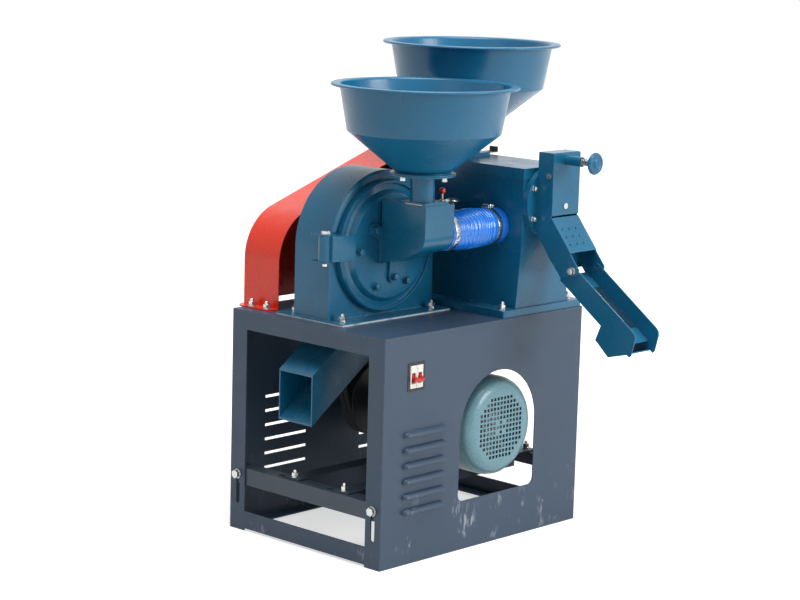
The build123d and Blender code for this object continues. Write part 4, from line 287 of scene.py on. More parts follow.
def enamel(name, colour, deep, worn_and_highlit_edge, roughness, peel, peel_height, coat, dust="#9AA6AE", dust_share=0.10,
           worn_and_highlit_edge_share=0.55, lumps=None):
    """Sprayed enamel: the colour drifts a little, a peel in the gloss, dust on tops, and paler edges that are
    partly rubbed thin and partly a painted highlight.
    On a casting, lumps is the size and height of the sand's pits under the paint."""
    material, tree, shader = new_material(name)
    place = add(tree, "ShaderNodeTexCoord").outputs["Object"]
    tone = blended(tree, grain(tree, place, PAINT_DRIFT, 3.0), deep, colour)
    patches = spread(tree, grain(tree, place, DUST_PATCH, 4.0), 0.35, 0.7, 0.3, 1.0)
    settled = spread(tree, product(tree, facing_up(tree), patches), 0.0, 1.0, 0.0, dust_share)
    tone = blended(tree, settled, tone, dust)
    rounded_normal, edge = soft_edges(tree, EDGE_ROUND)
    # Pale edges: partly paint rubbed thin, partly a painted highlight where edges catch the light.
    edge_wear_and_highlight_patches = spread(tree, grain(tree, place, RUBBED_PATCH, 3.0), 0.40, 0.62, 0.1, worn_and_highlit_edge_share)
    worn_and_highlit_edges = product(tree, edge, edge_wear_and_highlight_patches)
    tone = blended(tree, worn_and_highlit_edges, tone, worn_and_highlit_edge)
    tree.links.new(tone, shader.inputs["Base Color"])
    gloss = spread(tree, grain(tree, place, GLOSS_PATCH, 4.0), 0.25, 0.75, roughness - 0.06, roughness + 0.08)
    tree.links.new(gloss, shader.inputs["Roughness"])
    normal = rounded_normal
    if lumps:
        size, height = lumps
        normal = add(tree, "ShaderNodeBump", {"Strength": 1.0, "Distance": height},
                     {"Height": grain(tree, place, size, 3.0), "Normal": normal}).outputs[0]
    normal = add(tree, "ShaderNodeBump", {"Strength": 1.0, "Distance": peel_height},
                 {"Height": grain(tree, place, peel, 1.0), "Normal": normal}).outputs[0]
    tree.links.new(normal, shader.inputs["Normal"])
    shader.inputs["Coat Weight"].default_value = coat
    shader.inputs["Coat Roughness"].default_value = COAT_ROUGH
    shader.inputs["IOR"].default_value = ENAMEL_IOR
    return material


def scuffed(material):
    """Adds pale scuffs to a paint, in a broken band just above the floor."""
    tree = material.node_tree
    shader = tree.nodes["Principled BSDF"]
    place = add(tree, "ShaderNodeTexCoord").outputs["Object"]
    tone = shader.inputs["Base Color"].links[0].from_socket
    height = add(tree, "ShaderNodeSeparateXYZ", None, {0: place}).outputs["Z"]
    low = spread(tree, height, SCUFF_TOP, SCUFF_TOP * 0.35, 0.0, 1.0)
    patches = spread(tree, grain(tree, place, SCUFF_PATCH, 2.0), 0.56, 0.68, 0.0, 1.0)
    scratches = spread(tree, grain(tree, place, SCRATCH_W, 4.0, (1.0, 1.0, 0.28)), 0.5, 0.66, 0.0, 0.75)
    marks = product(tree, product(tree, low, patches), scratches)
    tree.links.new(blended(tree, marks, tone, SCUFF_PALE), shader.inputs["Base Color"])
    return material


cabinet_paint = scuffed(enamel("stoved_grey_blue_paint", CABINET_PAINT, CABINET_PAINT_DEEP, CABINET_WORN_AND_HIGHLIT_EDGE,
                               roughness=0.42, peel=0.0016, peel_height=0.000012, coat=0.04,
                               dust="#7C8996", dust_share=0.08))
for node in ("cabinet_top", "front_panel", "back_panel", "left_end_frame", "right_end_frame"):
    dress(node, cabinet_paint)


# The breaker: two poles of moulded white plastic in a black frame in the panel, with two red levers
# on one bar. Moulded ABS: smooth, a little glossy, with small radii on every edge.
BREAKER_WHITE = "#EDEBE5"
BREAKER_BLACK = "#131416"
LEVER_RED = "#C9211B"
POLE_W = 0.018
POLE_GAP = 0.0004
POLE_FACE = 0.0022
NOSE_PROUD = 0.0030
POLE_HALF_H = 0.0225
POLE_DEPTH = 0.055
WALL_BEFORE_AXLE = 0.003
RIM_W = 0.006
RIM_PROUD = 0.001
BACK_PLATE = (0.004, 0.010)
SLOT_BELOW = 0.0135
SLOT_ABOVE = 0.0075
CHEEK_W = 0.0036
LEVER_W = 0.0068
LEVER_HALF_T = 0.0040
LEVER_TILT = 26.0
LEVER_RIBS = 3
RIB_PITCH = 0.0022
BAR_OVERHANG = 0.0015
SMALL_ROUND = 0.0005
TEXTURE_HEIGHT = 0.000006


def moulded(name, colour, roughness=0.28, texture=0.00035):
    """Injection-moulded plastic: one colour, with the fine spark-eroded texture of its mould."""
    material, tree, shader = new_material(name)
    place = add(tree, "ShaderNodeTexCoord").outputs["Object"]
    shader.inputs["Base Color"].default_value = linear(colour)
    shader.inputs["Roughness"].default_value = roughness
    rounded_normal, _ = soft_edges(tree, SMALL_ROUND)
    normal = add(tree, "ShaderNodeBump", {"Strength": 1.0, "Distance": TEXTURE_HEIGHT},
                 {"Height": grain(tree, place, texture, 1.0), "Normal": rounded_normal}).outputs[0]
    tree.links.new(normal, shader.inputs["Normal"])
    return material


def boxes(name, parts, material, bevel=0.0, turn=None):
    """One mesh of plain blocks, each (low corner, high corner), with their edges rounded."""
    shape = bmesh.new()
    for low, high in parts:
        corners = [Vector((x, y, z)) for x in (low[0], high[0]) for y in (low[1], high[1])
                   for z in (low[2], high[2])]
        verts = [shape.verts.new(c) for c in corners]
        for face in ((0, 1, 3, 2), (4, 6, 7, 5), (0, 4, 5, 1), (2, 3, 7, 6), (0, 2, 6, 4), (1, 5, 7, 3)):
            shape.faces.new([verts[i] for i in face])
    if turn:
        shape.transform(turn)
    bmesh.ops.recalc_face_normals(shape, faces=shape.faces)
    mesh = bpy.data.meshes.new(name)
    shape.to_mesh(mesh)
    shape.free()
    mesh.materials.append(material)
    piece = linked(bpy.data.objects.new(name, mesh))
    if bevel:
        edges = piece.modifiers.new("edges", "BEVEL")
        edges.width = bevel
        edges.segments = 2
        edges.limit_method = "ANGLE"
    return piece


def joint_place(name):
    """The point that a joint of the frame turns about."""
    return Vector(next(joint["pos_m"] for joint in frame["joints"] if joint["name"] == name))


def breaker():
    """A black rim and back plate, two white poles with a slot each, and the levers' red bar."""
    low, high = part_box("breaker_body")
    x, z = (low.x + high.x) / 2, (low.z + high.z) / 2
    axle = joint_place("breaker_switch")
    wall = axle.y - WALL_BEFORE_AXLE
    inner_x, outer_x = POLE_W, POLE_W + RIM_W
    inner_z, outer_z = POLE_HALF_H, POLE_HALF_H + RIM_W
    white = moulded("white_moulded_plastic", BREAKER_WHITE)
    black = moulded("black_moulded_plastic", BREAKER_BLACK, 0.4)
    red = moulded("red_moulded_plastic", LEVER_RED, 0.22)
    front, back = wall - RIM_PROUD, wall
    plate_front, plate_back = wall + BACK_PLATE[0], wall + BACK_PLATE[1]
    rim_bars = [
        ((x - outer_x, front, z - outer_z), (x - inner_x, back, z + outer_z)),
        ((x + inner_x, front, z - outer_z), (x + outer_x, back, z + outer_z)),
        ((x - inner_x, front, z + inner_z), (x + inner_x, back, z + outer_z)),
        ((x - inner_x, front, z - outer_z), (x + inner_x, back, z - inner_z)),
        ((x - inner_x, plate_front, z - inner_z), (x + inner_x, plate_back, z + inner_z)),
    ]
    surround = boxes("breaker_frame", rim_bars, black, 0.0003)
    poles = []
    slot_low, slot_high = z - SLOT_BELOW, z + SLOT_ABOVE
    front, back = wall - POLE_FACE, wall + POLE_DEPTH
    for side in (-1, 1):
        a = x + side * POLE_W / 2 - POLE_W / 2 + POLE_GAP
        b = x + side * POLE_W / 2 + POLE_W / 2 - POLE_GAP
        poles += [
            ((a, front, slot_high), (b, back, z + inner_z)),
            ((a, front, z - inner_z), (b, back, slot_low)),
            ((a, front, slot_low), (a + CHEEK_W, back, slot_high)),
            ((b - CHEEK_W, front, slot_low), (b, back, slot_high)),
            ((a + 0.0015, wall - NOSE_PROUD, slot_high + 0.0012),
             (b - 0.0015, front + 0.0005, slot_high + 0.0105)),
        ]
    body = boxes("breaker_poles", poles, white, 0.0004)
    levers = []
    for side in (-1, 1):
        left = side * POLE_W / 2 - LEVER_W / 2
        right = side * POLE_W / 2 + LEVER_W / 2
        levers.append(((left, -0.0118, -LEVER_HALF_T), (right, -0.001, LEVER_HALF_T)))
        for rib in range(LEVER_RIBS):
            y = -0.0112 + rib * RIB_PITCH
            levers.append(((left, y, LEVER_HALF_T), (right, y + RIB_PITCH / 2, 0.0047)))
        levers.append(((left, -0.004, -0.0062), (right, 0.0068, 0.0062)))
    bar_end = POLE_W / 2 + LEVER_W / 2 + BAR_OVERHANG
    levers.append(((-bar_end, -0.0145, -0.0042), (bar_end, -0.0095, 0.0030)))
    turn = Matrix.Translation(axle) @ Matrix.Rotation(radians(LEVER_TILT), 4, "X")
    toggles = boxes("breaker_levers", levers, red, 0.0007, turn)
    for piece, slot_name in ((surround, "white_plastic"), (body, "white_plastic")):
        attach(piece, "root")
        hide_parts("breaker_body")
    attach(toggles, "toggle")
    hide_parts("breaker_toggle")


breaker()


# The motor carriage: two angle rails across the posts and two along them, in the cabinet's paint,
# which stays cleaner inside.
carriage_paint = enamel("carriage_grey_blue_paint", "#3F4C5D", "#36424F", CABINET_WORN_AND_HIGHLIT_EDGE, roughness=0.45,
                        peel=0.0016, peel_height=0.000012, coat=0.10, dust="#6F7A85", dust_share=0.12)
for node in ("cross_rails", "motor_rails"):
    dress(node, carriage_paint)


# The motor: a ribbed cast frame, a pressed fan cover with a grid of square holes and a terminal box,
# all in hammered blue-green paint, whose dimples are a few millimetres across.
MOTOR_GREEN = "#6E9BA8"
MOTOR_GREEN_DEEP = "#56818E"
HAMMER_DIMPLE = 0.0028
HAMMER_HEIGHT = 0.00005
MOTOR_GRIME = "#8D9896"
MOTOR_RUBBED = "#A6B7B8"
FAN_WHITE = "#D9D8D0"


def hammered(name, colour, deep):
    """Hammertone paint: a net of shallow dimples with darker seams, glossy between them."""
    material, tree, shader = new_material(name)
    place = add(tree, "ShaderNodeTexCoord").outputs["Object"]
    cells = add(tree, "ShaderNodeTexVoronoi", {"Scale": 1.0 / HAMMER_DIMPLE, "Randomness": 0.9},
                {"Vector": place}, feature="SMOOTH_F1").outputs["Distance"]
    tone = blended(tree, spread(tree, cells, 0.15, 0.75, 0.0, 1.0), colour, deep)
    grime = product(tree, spread(tree, grain(tree, place, 0.05, 4.0), 0.5, 0.72, 0.0, 1.0), facing_up(tree))
    tone = blended(tree, grime, tone, MOTOR_GRIME)
    rounded_normal, edge = soft_edges(tree, EDGE_ROUND)
    tone = blended(tree, product(tree, edge, spread(tree, cells, 0.2, 0.6, 0.1, 0.4)), tone, MOTOR_RUBBED)
    tree.links.new(tone, shader.inputs["Base Color"])
    gloss = spread(tree, grain(tree, place, 0.03, 3.0), 0.3, 0.7, 0.28, 0.42)
    tree.links.new(gloss, shader.inputs["Roughness"])
    normal = add(tree, "ShaderNodeBump", {"Strength": 1.0, "Distance": HAMMER_HEIGHT},
                 {"Height": cells, "Normal": rounded_normal}).outputs[0]
    tree.links.new(normal, shader.inputs["Normal"])
    shader.inputs["Coat Weight"].default_value = 0.25
    shader.inputs["Coat Roughness"].default_value = 0.15
    return material


motor_paint = hammered("hammered_blue_green_paint", MOTOR_GREEN, MOTOR_GREEN_DEEP)
for node in ("motor_body", "fan_cover", "terminal_box"):
    dress(node, motor_paint)
dress("motor_fan", moulded("fan_nylon", FAN_WHITE, 0.45))


# Shafts, bearings, screens and gates of bare steel; the pulleys, the rotors and the mill's barrel of
# grey cast iron, turned where the belts run. Both are metals, with oil in their grain.
STEEL_BRIGHT = "#B4B5B3"
STEEL_DULL = "#8E9090"
IRON_GREY = "#6A6B6C"
IRON_DARK = "#4C4D4F"


def bare_metal(name, colour, dull, roughness, grain_size, scratch_height, stretch=(1.0, 1.0, 1.0)):
    """Bare metal: two tones of the same grey, drawn or turned lines, and a slight stain."""
    material, tree, shader = new_material(name)
    place = add(tree, "ShaderNodeTexCoord").outputs["Object"]
    lines = grain(tree, place, grain_size, 4.0, stretch)
    stain = spread(tree, grain(tree, place, 0.03, 4.0), 0.42, 0.68, 0.0, 0.8)
    tone = blended(tree, lines, dull, colour)
    tone = blended(tree, product(tree, stain, lines), tone, dull)
    tree.links.new(tone, shader.inputs["Base Color"])
    shader.inputs["Metallic"].default_value = 1.0
    gloss = spread(tree, lines, 0.2, 0.8, roughness - 0.08, roughness + 0.10)
    tree.links.new(gloss, shader.inputs["Roughness"])
    rounded_normal, _ = soft_edges(tree, SMALL_ROUND)
    normal = add(tree, "ShaderNodeBump", {"Strength": 1.0, "Distance": scratch_height},
                 {"Height": lines, "Normal": rounded_normal}).outputs[0]
    tree.links.new(normal, shader.inputs["Normal"])
    return material


steel = bare_metal("drawn_steel", STEEL_BRIGHT, STEEL_DULL, roughness=0.30, grain_size=0.0012,
                   scratch_height=0.000008, stretch=(1.0, 0.12, 1.0))
iron = bare_metal("turned_cast_iron", IRON_GREY, IRON_DARK, roughness=0.46, grain_size=0.0010,
                  scratch_height=0.00002)
for node in ("motor_shaft", "bearings", "crusher_screen", "mill_sieve", "pressure_rod", "pressure_spring"):
    dress(node, steel)
for node in ("motor_pulley", "crusher_pulley", "mill_pulley", "crusher_rotor", "stator_ring", "mill_rotor",
             "mill_barrel", "pressure_flap"):
    dress(node, iron)
dress("mill_gate", bare_metal("oiled_dark_steel", "#55585B", "#3A3D40", roughness=0.42, grain_size=0.0014,
                              scratch_height=0.00001, stretch=(0.2, 1.0, 1.0)))


# The V belts: black rubber wrapped in woven cotton, whose threads run on the bias.
BELT_BLACK = "#1B1C1E"
BELT_WORN = "#3A3B3C"
BELT_THREAD = 0.0011
THREAD_HEIGHT = 0.00015
THREAD_BIAS = 45.0
WAVE_TURN = 6.28


def wrapped_rubber():
    """Fabric-wrapped rubber: dull black with a fine woven rib."""
    material, tree, shader = new_material("fabric_wrapped_rubber")
    place = add(tree, "ShaderNodeTexCoord").outputs["Object"]
    bias = add(tree, "ShaderNodeMapping", {"Rotation": (0.0, radians(THREAD_BIAS), 0.0)},
               {"Vector": place}).outputs[0]
    threads = add(tree, "ShaderNodeTexWave", {"Scale": 1.0 / (BELT_THREAD * WAVE_TURN), "Distortion": 0.4},
                  {"Vector": bias}, wave_type="BANDS").outputs["Fac"]
    tone = blended(tree, product(tree, threads, grain(tree, place, 0.02, 3.0)), BELT_BLACK, BELT_WORN)
    tree.links.new(tone, shader.inputs["Base Color"])
    shader.inputs["Roughness"].default_value = 0.78
    normal = add(tree, "ShaderNodeBump", {"Strength": 1.0, "Distance": THREAD_HEIGHT},
                 {"Height": threads}).outputs[0]
    tree.links.new(normal, shader.inputs["Normal"])
    return material


belt_rubber = wrapped_rubber()
for node in ("crusher_belts", "mill_belts"):
    dress(node, belt_rubber)


# The crusher: an iron casting on a welded base, its swinging cast door and its hub, in glossy teal
# enamel that has run over sand-cast skin. A pale line along the foot of the base plate is a painted highlight
# of its lit edge.
TEAL = "#10698E"
TEAL_DEEP = "#0D5C7E"
# The pale edge colour stands for paint rubbed thin and for a painted highlight on lit edges.
TEAL_WORN_AND_HIGHLIT_EDGE = "#6FA3BC"
SAND_PIT = 0.0042
SAND_HEIGHT = 0.00012
# The painted highlight along the foot of the base plate: its height and its pale colour.
EDGE_HIGHLIGHT_HEIGHT = 0.0030
PAINTED_EDGE_HIGHLIGHT = "#D5DDE0"


def painted_highlight_band(material, level, top):
    """Paints a pale line, a painted highlight of a lit bottom edge, on everything between two heights."""
    tree = material.node_tree
    shader = tree.nodes["Principled BSDF"]
    place = add(tree, "ShaderNodeTexCoord").outputs["Object"]
    tone = shader.inputs["Base Color"].links[0].from_socket
    height = add(tree, "ShaderNodeSeparateXYZ", None, {0: place}).outputs["Z"]
    # A painted highlight: a pale line on the base plate's lit bottom edge.
    line = spread(tree, height, top + 0.0004, top - 0.0004, 0.0, 1.0)
    line = product(tree, line, spread(tree, height, level - 0.0004, level + 0.0002, 0.0, 1.0))
    line = product(tree, line, spread(tree, grain(tree, place, 0.02, 3.0), 0.3, 0.5, 0.45, 1.0))
    tree.links.new(blended(tree, line, tone, PAINTED_EDGE_HIGHLIGHT), shader.inputs["Base Color"])
    return material


cast_teal = enamel("teal_enamel_on_casting", TEAL, TEAL_DEEP, TEAL_WORN_AND_HIGHLIT_EDGE, roughness=0.26, peel=0.0022,
                   peel_height=0.00002, coat=0.12, lumps=(SAND_PIT, SAND_HEIGHT))
housing_teal = enamel("teal_enamel_on_housing", TEAL, TEAL_DEEP, TEAL_WORN_AND_HIGHLIT_EDGE, roughness=0.28, peel=0.0022,
                      peel_height=0.00002, coat=0.12, lumps=(SAND_PIT * 1.6, SAND_HEIGHT * 0.8))
base_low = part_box("crusher_housing")[0].z
# Paints the pale highlight line along the base plate's foot.
painted_highlight_band(housing_teal, base_low, base_low + EDGE_HIGHLIGHT_HEIGHT)
dress("crusher_housing", housing_teal)
for node in ("crusher_door", "crusher_bearing_hub", "mill_bearing_hub", "outlet_flange"):
    dress(node, cast_teal)


# Bent and welded sheet: the feed box, the necks, both chutes, the mill's base, body and cover. The
# same teal enamel, smoother here, since rolled sheet has no sand skin under it.
sheet_teal = enamel("teal_enamel_on_sheet", TEAL, TEAL_DEEP, TEAL_WORN_AND_HIGHLIT_EDGE, roughness=0.27, peel=0.0018,
                    peel_height=0.000014, coat=0.12)
for node in ("feed_box", "front_neck", "rear_neck", "discharge_chute", "mill_base", "mill_housing",
             "mill_cover", "outlet_box", "outlet_cover", "outlet_guard_plate", "sieve_trough"):
    dress(node, sheet_teal)
zinc = bare_metal("bright_zinc_plate", "#D9D8D0", "#B9BCC0", roughness=0.24, grain_size=0.0009,
                  scratch_height=0.000006)
for node in ("hinge_pin", "latch_screw"):
    dress(node, zinc)


# Weld beads along the seams of sheet and plate, rippled by the torch and painted over.
BEAD_R = 0.0019
BEAD_RIPPLE = 0.0034
BEAD_SWELL = 0.16
BEAD_MEAN = 0.9
WELD_ABOVE_BASE = 0.0045
HOUSING_HALF_W = 0.1515
HOUSING_HALF_D = 0.048
NECK_WELD_R = 0.0248
NECK_WELD_ABOVE_FOOT = 0.003
NECK_WELD_POINTS = 40


def shape_tree(name, sizes, counts=()):
    """A new node group that takes a mesh, named counts and sizes and a finish, with its input sockets."""
    tree = bpy.data.node_groups.new(name, "GeometryNodeTree")
    sockets = tree.interface
    sockets.new_socket("Geometry", in_out="INPUT", socket_type="NodeSocketGeometry")
    for kind, values in (("NodeSocketInt", counts), ("NodeSocketFloat", sizes)):
        for label, default in values:
            sockets.new_socket(label, in_out="INPUT", socket_type=kind).default_value = default
    sockets.new_socket("Finish", in_out="INPUT", socket_type="NodeSocketMaterial")
    sockets.new_socket("Geometry", in_out="OUTPUT", socket_type="NodeSocketGeometry")
    return tree, add(tree, "NodeGroupInput").outputs


def end_tree(tree, shape, finish):
    """Ends a node group: its instances made real, in their finish."""
    real = add(tree, "GeometryNodeRealizeInstances", None, {"Geometry": shape}).outputs[0]
    painted = add(tree, "GeometryNodeSetMaterial", None, {"Geometry": real, "Material": finish})
    tree.links.new(painted.outputs[0], add(tree, "NodeGroupOutput").inputs[0])
    return tree


def weld_tree():
    """A bead that follows a line, its thickness rippling at a fixed pitch."""
    tree, source = shape_tree("weld_bead", (("Bead Radius", BEAD_R), ("Ripple Pitch", BEAD_RIPPLE)))
    pitch = source["Ripple Pitch"]
    line = add(tree, "GeometryNodeMeshToCurve", None, {"Mesh": source["Geometry"]}).outputs[0]
    step = add(tree, "ShaderNodeMath", {1: 0.25}, {0: pitch}, operation="MULTIPLY").outputs[0]
    fine = add(tree, "GeometryNodeResampleCurve", None, {"Curve": line, "Length": step},
               mode="LENGTH").outputs[0]
    along = add(tree, "GeometryNodeSplineParameter").outputs["Length"]
    turns = add(tree, "ShaderNodeMath", None, {0: along, 1: pitch}, operation="DIVIDE").outputs[0]
    phase = add(tree, "ShaderNodeMath", {1: 2 * pi}, {0: turns}, operation="MULTIPLY").outputs[0]
    wave = add(tree, "ShaderNodeMath", None, {0: phase}, operation="SINE").outputs[0]
    swell = add(tree, "ShaderNodeMath", {1: BEAD_SWELL, 2: BEAD_MEAN}, {0: wave},
                operation="MULTIPLY_ADD").outputs[0]
    radius = add(tree, "ShaderNodeMath", None, {0: swell, 1: source["Bead Radius"]},
                 operation="MULTIPLY").outputs[0]
    ring = add(tree, "GeometryNodeCurvePrimitiveCircle", {"Resolution": 10, "Radius": 1.0}).outputs[0]
    bead = add(tree, "GeometryNodeCurveToMesh", {"Fill Caps": True},
               {"Curve": fine, "Profile Curve": ring, "Scale": radius}).outputs[0]
    smooth = add(tree, "GeometryNodeSetShadeSmooth", {"Shade Smooth": True}, {"Geometry": bead}).outputs[0]
    return end_tree(tree, smooth, source["Finish"])


def grown(name, mesh, tree, values):
    """Runs a node tree on a mesh and keeps what comes out as a plain mesh piece."""
    holder = linked(bpy.data.objects.new(name + "_seed", mesh))
    modifier = holder.modifiers.new("shape", "NODES")
    modifier.node_group = tree
    for item in tree.interface.items_tree:
        if item.in_out == "INPUT" and item.name in values:
            modifier[item.identifier] = values[item.name]
    bpy.context.view_layer.update()
    done = holder.evaluated_get(bpy.context.evaluated_depsgraph_get())
    result = bpy.data.meshes.new_from_object(done)
    bpy.data.objects.remove(holder)
    return linked(bpy.data.objects.new(name, result))


def lines_mesh(name, lines):
    """A mesh of open lines, each a list of points."""
    mesh = bpy.data.meshes.new(name)
    points, edges = [], []
    for line in lines:
        start = len(points)
        points += [tuple(p) for p in line]
        edges += [(start + i, start + i + 1) for i in range(len(line) - 1)]
    mesh.from_pydata(points, edges, [])
    return mesh


WELD = weld_tree()


def crusher_welds():
    """Along the four feet of the housing, where its walls stand on the base plate."""
    low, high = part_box("crusher_housing")
    screen_low, screen_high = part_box("crusher_screen")
    centre = Vector(((screen_low.x + screen_high.x) / 2, (low.y + high.y) / 2, low.z + WELD_ABOVE_BASE))
    loop = [centre + Vector((x * HOUSING_HALF_W, y * HOUSING_HALF_D, 0))
            for x, y in ((-1, -1), (1, -1), (1, 1), (-1, 1))]
    runs = [(loop[i], loop[(i + 1) % 4]) for i in range(4)]
    return [(a.lerp(b, 0.02), b.lerp(a, 0.02)) for a, b in runs]


def neck_weld():
    """Round the front neck's tube, on its foot plate."""
    low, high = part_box("front_hopper")
    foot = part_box("front_neck")[0].z
    centre = Vector(((low.x + high.x) / 2, (low.y + high.y) / 2, foot + NECK_WELD_ABOVE_FOOT))
    angles = [2 * pi * i / NECK_WELD_POINTS for i in range(NECK_WELD_POINTS + 1)]
    return [[centre + Vector((NECK_WELD_R * cos(a), NECK_WELD_R * sin(a), 0)) for a in angles]]


welds = grown("crusher_base_welds", lines_mesh("crusher_base_welds", crusher_welds()), WELD,
              {"Finish": cast_teal})
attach(welds, "root")
neck_bead = grown("front_neck_weld", lines_mesh("front_neck_weld", neck_weld()), WELD,
                  {"Finish": sheet_teal, "Bead Radius": 0.0014})
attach(neck_bead, "door")


# The two hoppers: spun steel cones with a deep band and a brim whose edge is rolled over. Sheet of
# 2 mm, welded to a flat ring that is bolted to the neck below.
SHEET_T = 0.002
BAND_TOP_R = 0.1675
BAND_LOW_R = 0.151
THROAT_R = 0.052
CONE_H = 0.0795
RING_R = 0.065
RING_BORE = 0.0245
RING_T = 0.003
RING_EDGE = 0.0007
RING_BEAD_R = 0.0016
ROLL_R = 0.0017
ROLL_STEP = 24
BRIM_BEND = 0.005
KNEE_BEND = 0.004
SPIN_SEGMENTS = 160


def rounded(points, radii, steps=6):
    """The points of a path with each inner corner rounded by its own radius."""
    path = [Vector(points[0])]
    for before, here, after, radius in zip(points, points[1:-1], points[2:], radii):
        here = Vector(here)
        a = (Vector(before) - here).normalized()
        b = (Vector(after) - here).normalized()
        half = a.angle(b) / 2
        centre = here + (a + b).normalized() * (radius / sin(half))
        start, end = a * radius * cos(half) / sin(half) + here, b * radius * cos(half) / sin(half) + here
        path += [centre + (start - centre).slerp(end - centre, i / steps).normalized() * radius
                 for i in range(steps + 1)]
    return path + [Vector(points[-1])]


def sheet_outline(path, thickness):
    """The closed outline of a sheet whose middle follows a path."""
    left, right = [], []
    for i, here in enumerate(path):
        along = (path[min(i + 1, len(path) - 1)] - path[max(i - 1, 0)]).normalized()
        side = Vector((-along.y, along.x)) * thickness / 2
        left.append(here + side)
        right.append(here - side)
    return left + right[::-1]


def turned(name, outlines, place, material, segments=SPIN_SEGMENTS):
    """Turns closed outlines of (radius, height) about an upright axis, then puts them in place."""
    shape = bmesh.new()
    for outline in outlines:
        rings = []
        for k in range(segments):
            a = 2 * pi * k / segments
            rings.append([shape.verts.new((r * cos(a), r * sin(a), h)) for r, h in outline])
        for k in range(segments):
            one, two = rings[k], rings[(k + 1) % segments]
            for i in range(len(outline)):
                j = (i + 1) % len(outline)
                shape.faces.new((one[i], two[i], two[j], one[j]))
    bmesh.ops.remove_doubles(shape, verts=shape.verts, dist=1e-7)
    bmesh.ops.recalc_face_normals(shape, faces=shape.faces)
    shape.transform(place)
    for face in shape.faces:
        face.smooth = True
    for edge in shape.edges:
        if len(edge.link_faces) == 2 and edge.calc_face_angle() > radians(SMOOTH_ANGLE):
            edge.smooth = False
    mesh = bpy.data.meshes.new(name)
    shape.to_mesh(mesh)
    shape.free()
    mesh.materials.append(material)
    return linked(bpy.data.objects.new(name, mesh))


def hopper(node, body):
    """One hopper: the spun cone with its rolled brim, the ring under it and the weld between them."""
    low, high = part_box(node)
    rim_r = (high.x - low.x) / 2
    height = high.z - low.z
    knee = RING_T + CONE_H
    roll = Vector((rim_r - ROLL_R - SHEET_T / 2, height - SHEET_T / 2 - ROLL_R))
    path = rounded([(THROAT_R, RING_T), (BAND_LOW_R, knee), (BAND_TOP_R, height - SHEET_T / 2),
                    (roll.x, height - SHEET_T / 2)], [KNEE_BEND, BRIM_BEND])
    curl_angles = [radians(90 - ROLL_STEP * i) for i in range(1, 11)]
    curl = [roll + Vector((cos(a), sin(a))) * ROLL_R for a in curl_angles]
    shell = sheet_outline(path + curl, SHEET_T)
    ring = [Vector(p) for p in (
        (RING_BORE, 0.0), (RING_R - RING_EDGE, 0.0), (RING_R, RING_EDGE), (RING_R, RING_T - RING_EDGE),
        (RING_R - RING_EDGE, RING_T), (RING_BORE, RING_T))]
    bead_middle = Vector((THROAT_R + SHEET_T, RING_T + 0.0012))
    bead = [bead_middle + Vector((cos(a), sin(a))) * RING_BEAD_R
            for a in [2 * pi * i / 10 for i in range(10)]]
    place = Matrix.Translation(((low.x + high.x) / 2, (low.y + high.y) / 2, low.z))
    piece = turned(node + "_spun", [shell, ring, bead], place, hopper_teal)
    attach(piece, body)
    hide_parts(node)


# Its pale edge colour is rubbed paint and a painted edge highlight.
hopper_teal = enamel("teal_enamel_on_spun_steel", "#10698F", "#0E6085", "#6FA9C2", roughness=0.30,
                     peel=0.0020, peel_height=0.000014, coat=0.10)
hopper("front_hopper", "door")
hopper("rear_hopper", "root")


# The slide under the front hopper: a steel plate with an upright stem and a red ball on it.
BALL_RED = "#D8241C"
STEM_R = 0.0025
BALL_R = 0.0065
GATE_T = 0.0025
TANG_W = 0.018
STEM_INSET = 0.007
SHOULDER_R = STEM_R * 1.9


def feed_gate():
    """The plate with its tang, the stem with a shoulder, and the ball."""
    low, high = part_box("feed_gate")
    middle_y = (low.y + high.y) / 2
    stem_x = high.x - STEM_INSET
    plate = boxes("feed_gate_plate", [
        ((low.x, low.y, low.z), (stem_x - 0.008, high.y, low.z + GATE_T)),
        ((stem_x - 0.009, middle_y - TANG_W / 2, low.z), (high.x, middle_y + TANG_W / 2, low.z + GATE_T))],
        steel, 0.0003)
    place = Matrix.Translation((stem_x, middle_y, low.z))
    ball_z = high.z - low.z - BALL_R
    stem = turned("feed_gate_stem", [[Vector(p) for p in (
        (0.0, GATE_T), (SHOULDER_R, GATE_T), (SHOULDER_R, GATE_T + 0.002), (STEM_R, GATE_T + 0.0032),
        (STEM_R, ball_z), (0.0, ball_z))]], place, steel, 32)
    arc = [radians(-80 + 170 * i / 16) for i in range(17)]
    poles = [Vector((0.0, ball_z + BALL_R)), Vector((0.0, ball_z - BALL_R * 0.985))]
    outline = [Vector((BALL_R * cos(a), ball_z + BALL_R * sin(a))) for a in arc] + poles
    ball = turned("feed_gate_ball", [outline], place, moulded("red_ball_plastic", BALL_RED, 0.16), 40)
    for piece, slot_name in ((plate, "steel"), (stem, "steel"), (ball, "red_plastic")):
        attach(piece, "front_gate")
        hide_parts("feed_gate")


feed_gate()


# The hose from the feed box to the mill: blue PVC film on a wire spiral, pushed together, so that it
# bulges and its folds run into each other. Wet-looking, with a painted highlight on each fold's crest
# and painted shade in the troughs between them.
HOSE_BLUE = "#1E8CF4"
# Painted highlight for the fold crests and painted shade for the troughs between folds.
HOSE_PAINTED_HIGHLIGHT = "#55B6FF"
HOSE_PAINTED_TROUGH_SHADE = "#106CE0"
HOSE_R = 0.037
HOSE_WALL = 0.0025
HOSE_SWELL = 0.0040
HOSE_FOLDS = 13
FOLD_HEIGHT = 0.0022
HOSE_PLAIN = (0.018, 0.034)
HOSE_RINGS = 190
HOSE_AROUND = 120
FADE_SHARE = 0.06
CREASE_HEIGHT = 0.00025
FILM_CRINKLE = 0.005


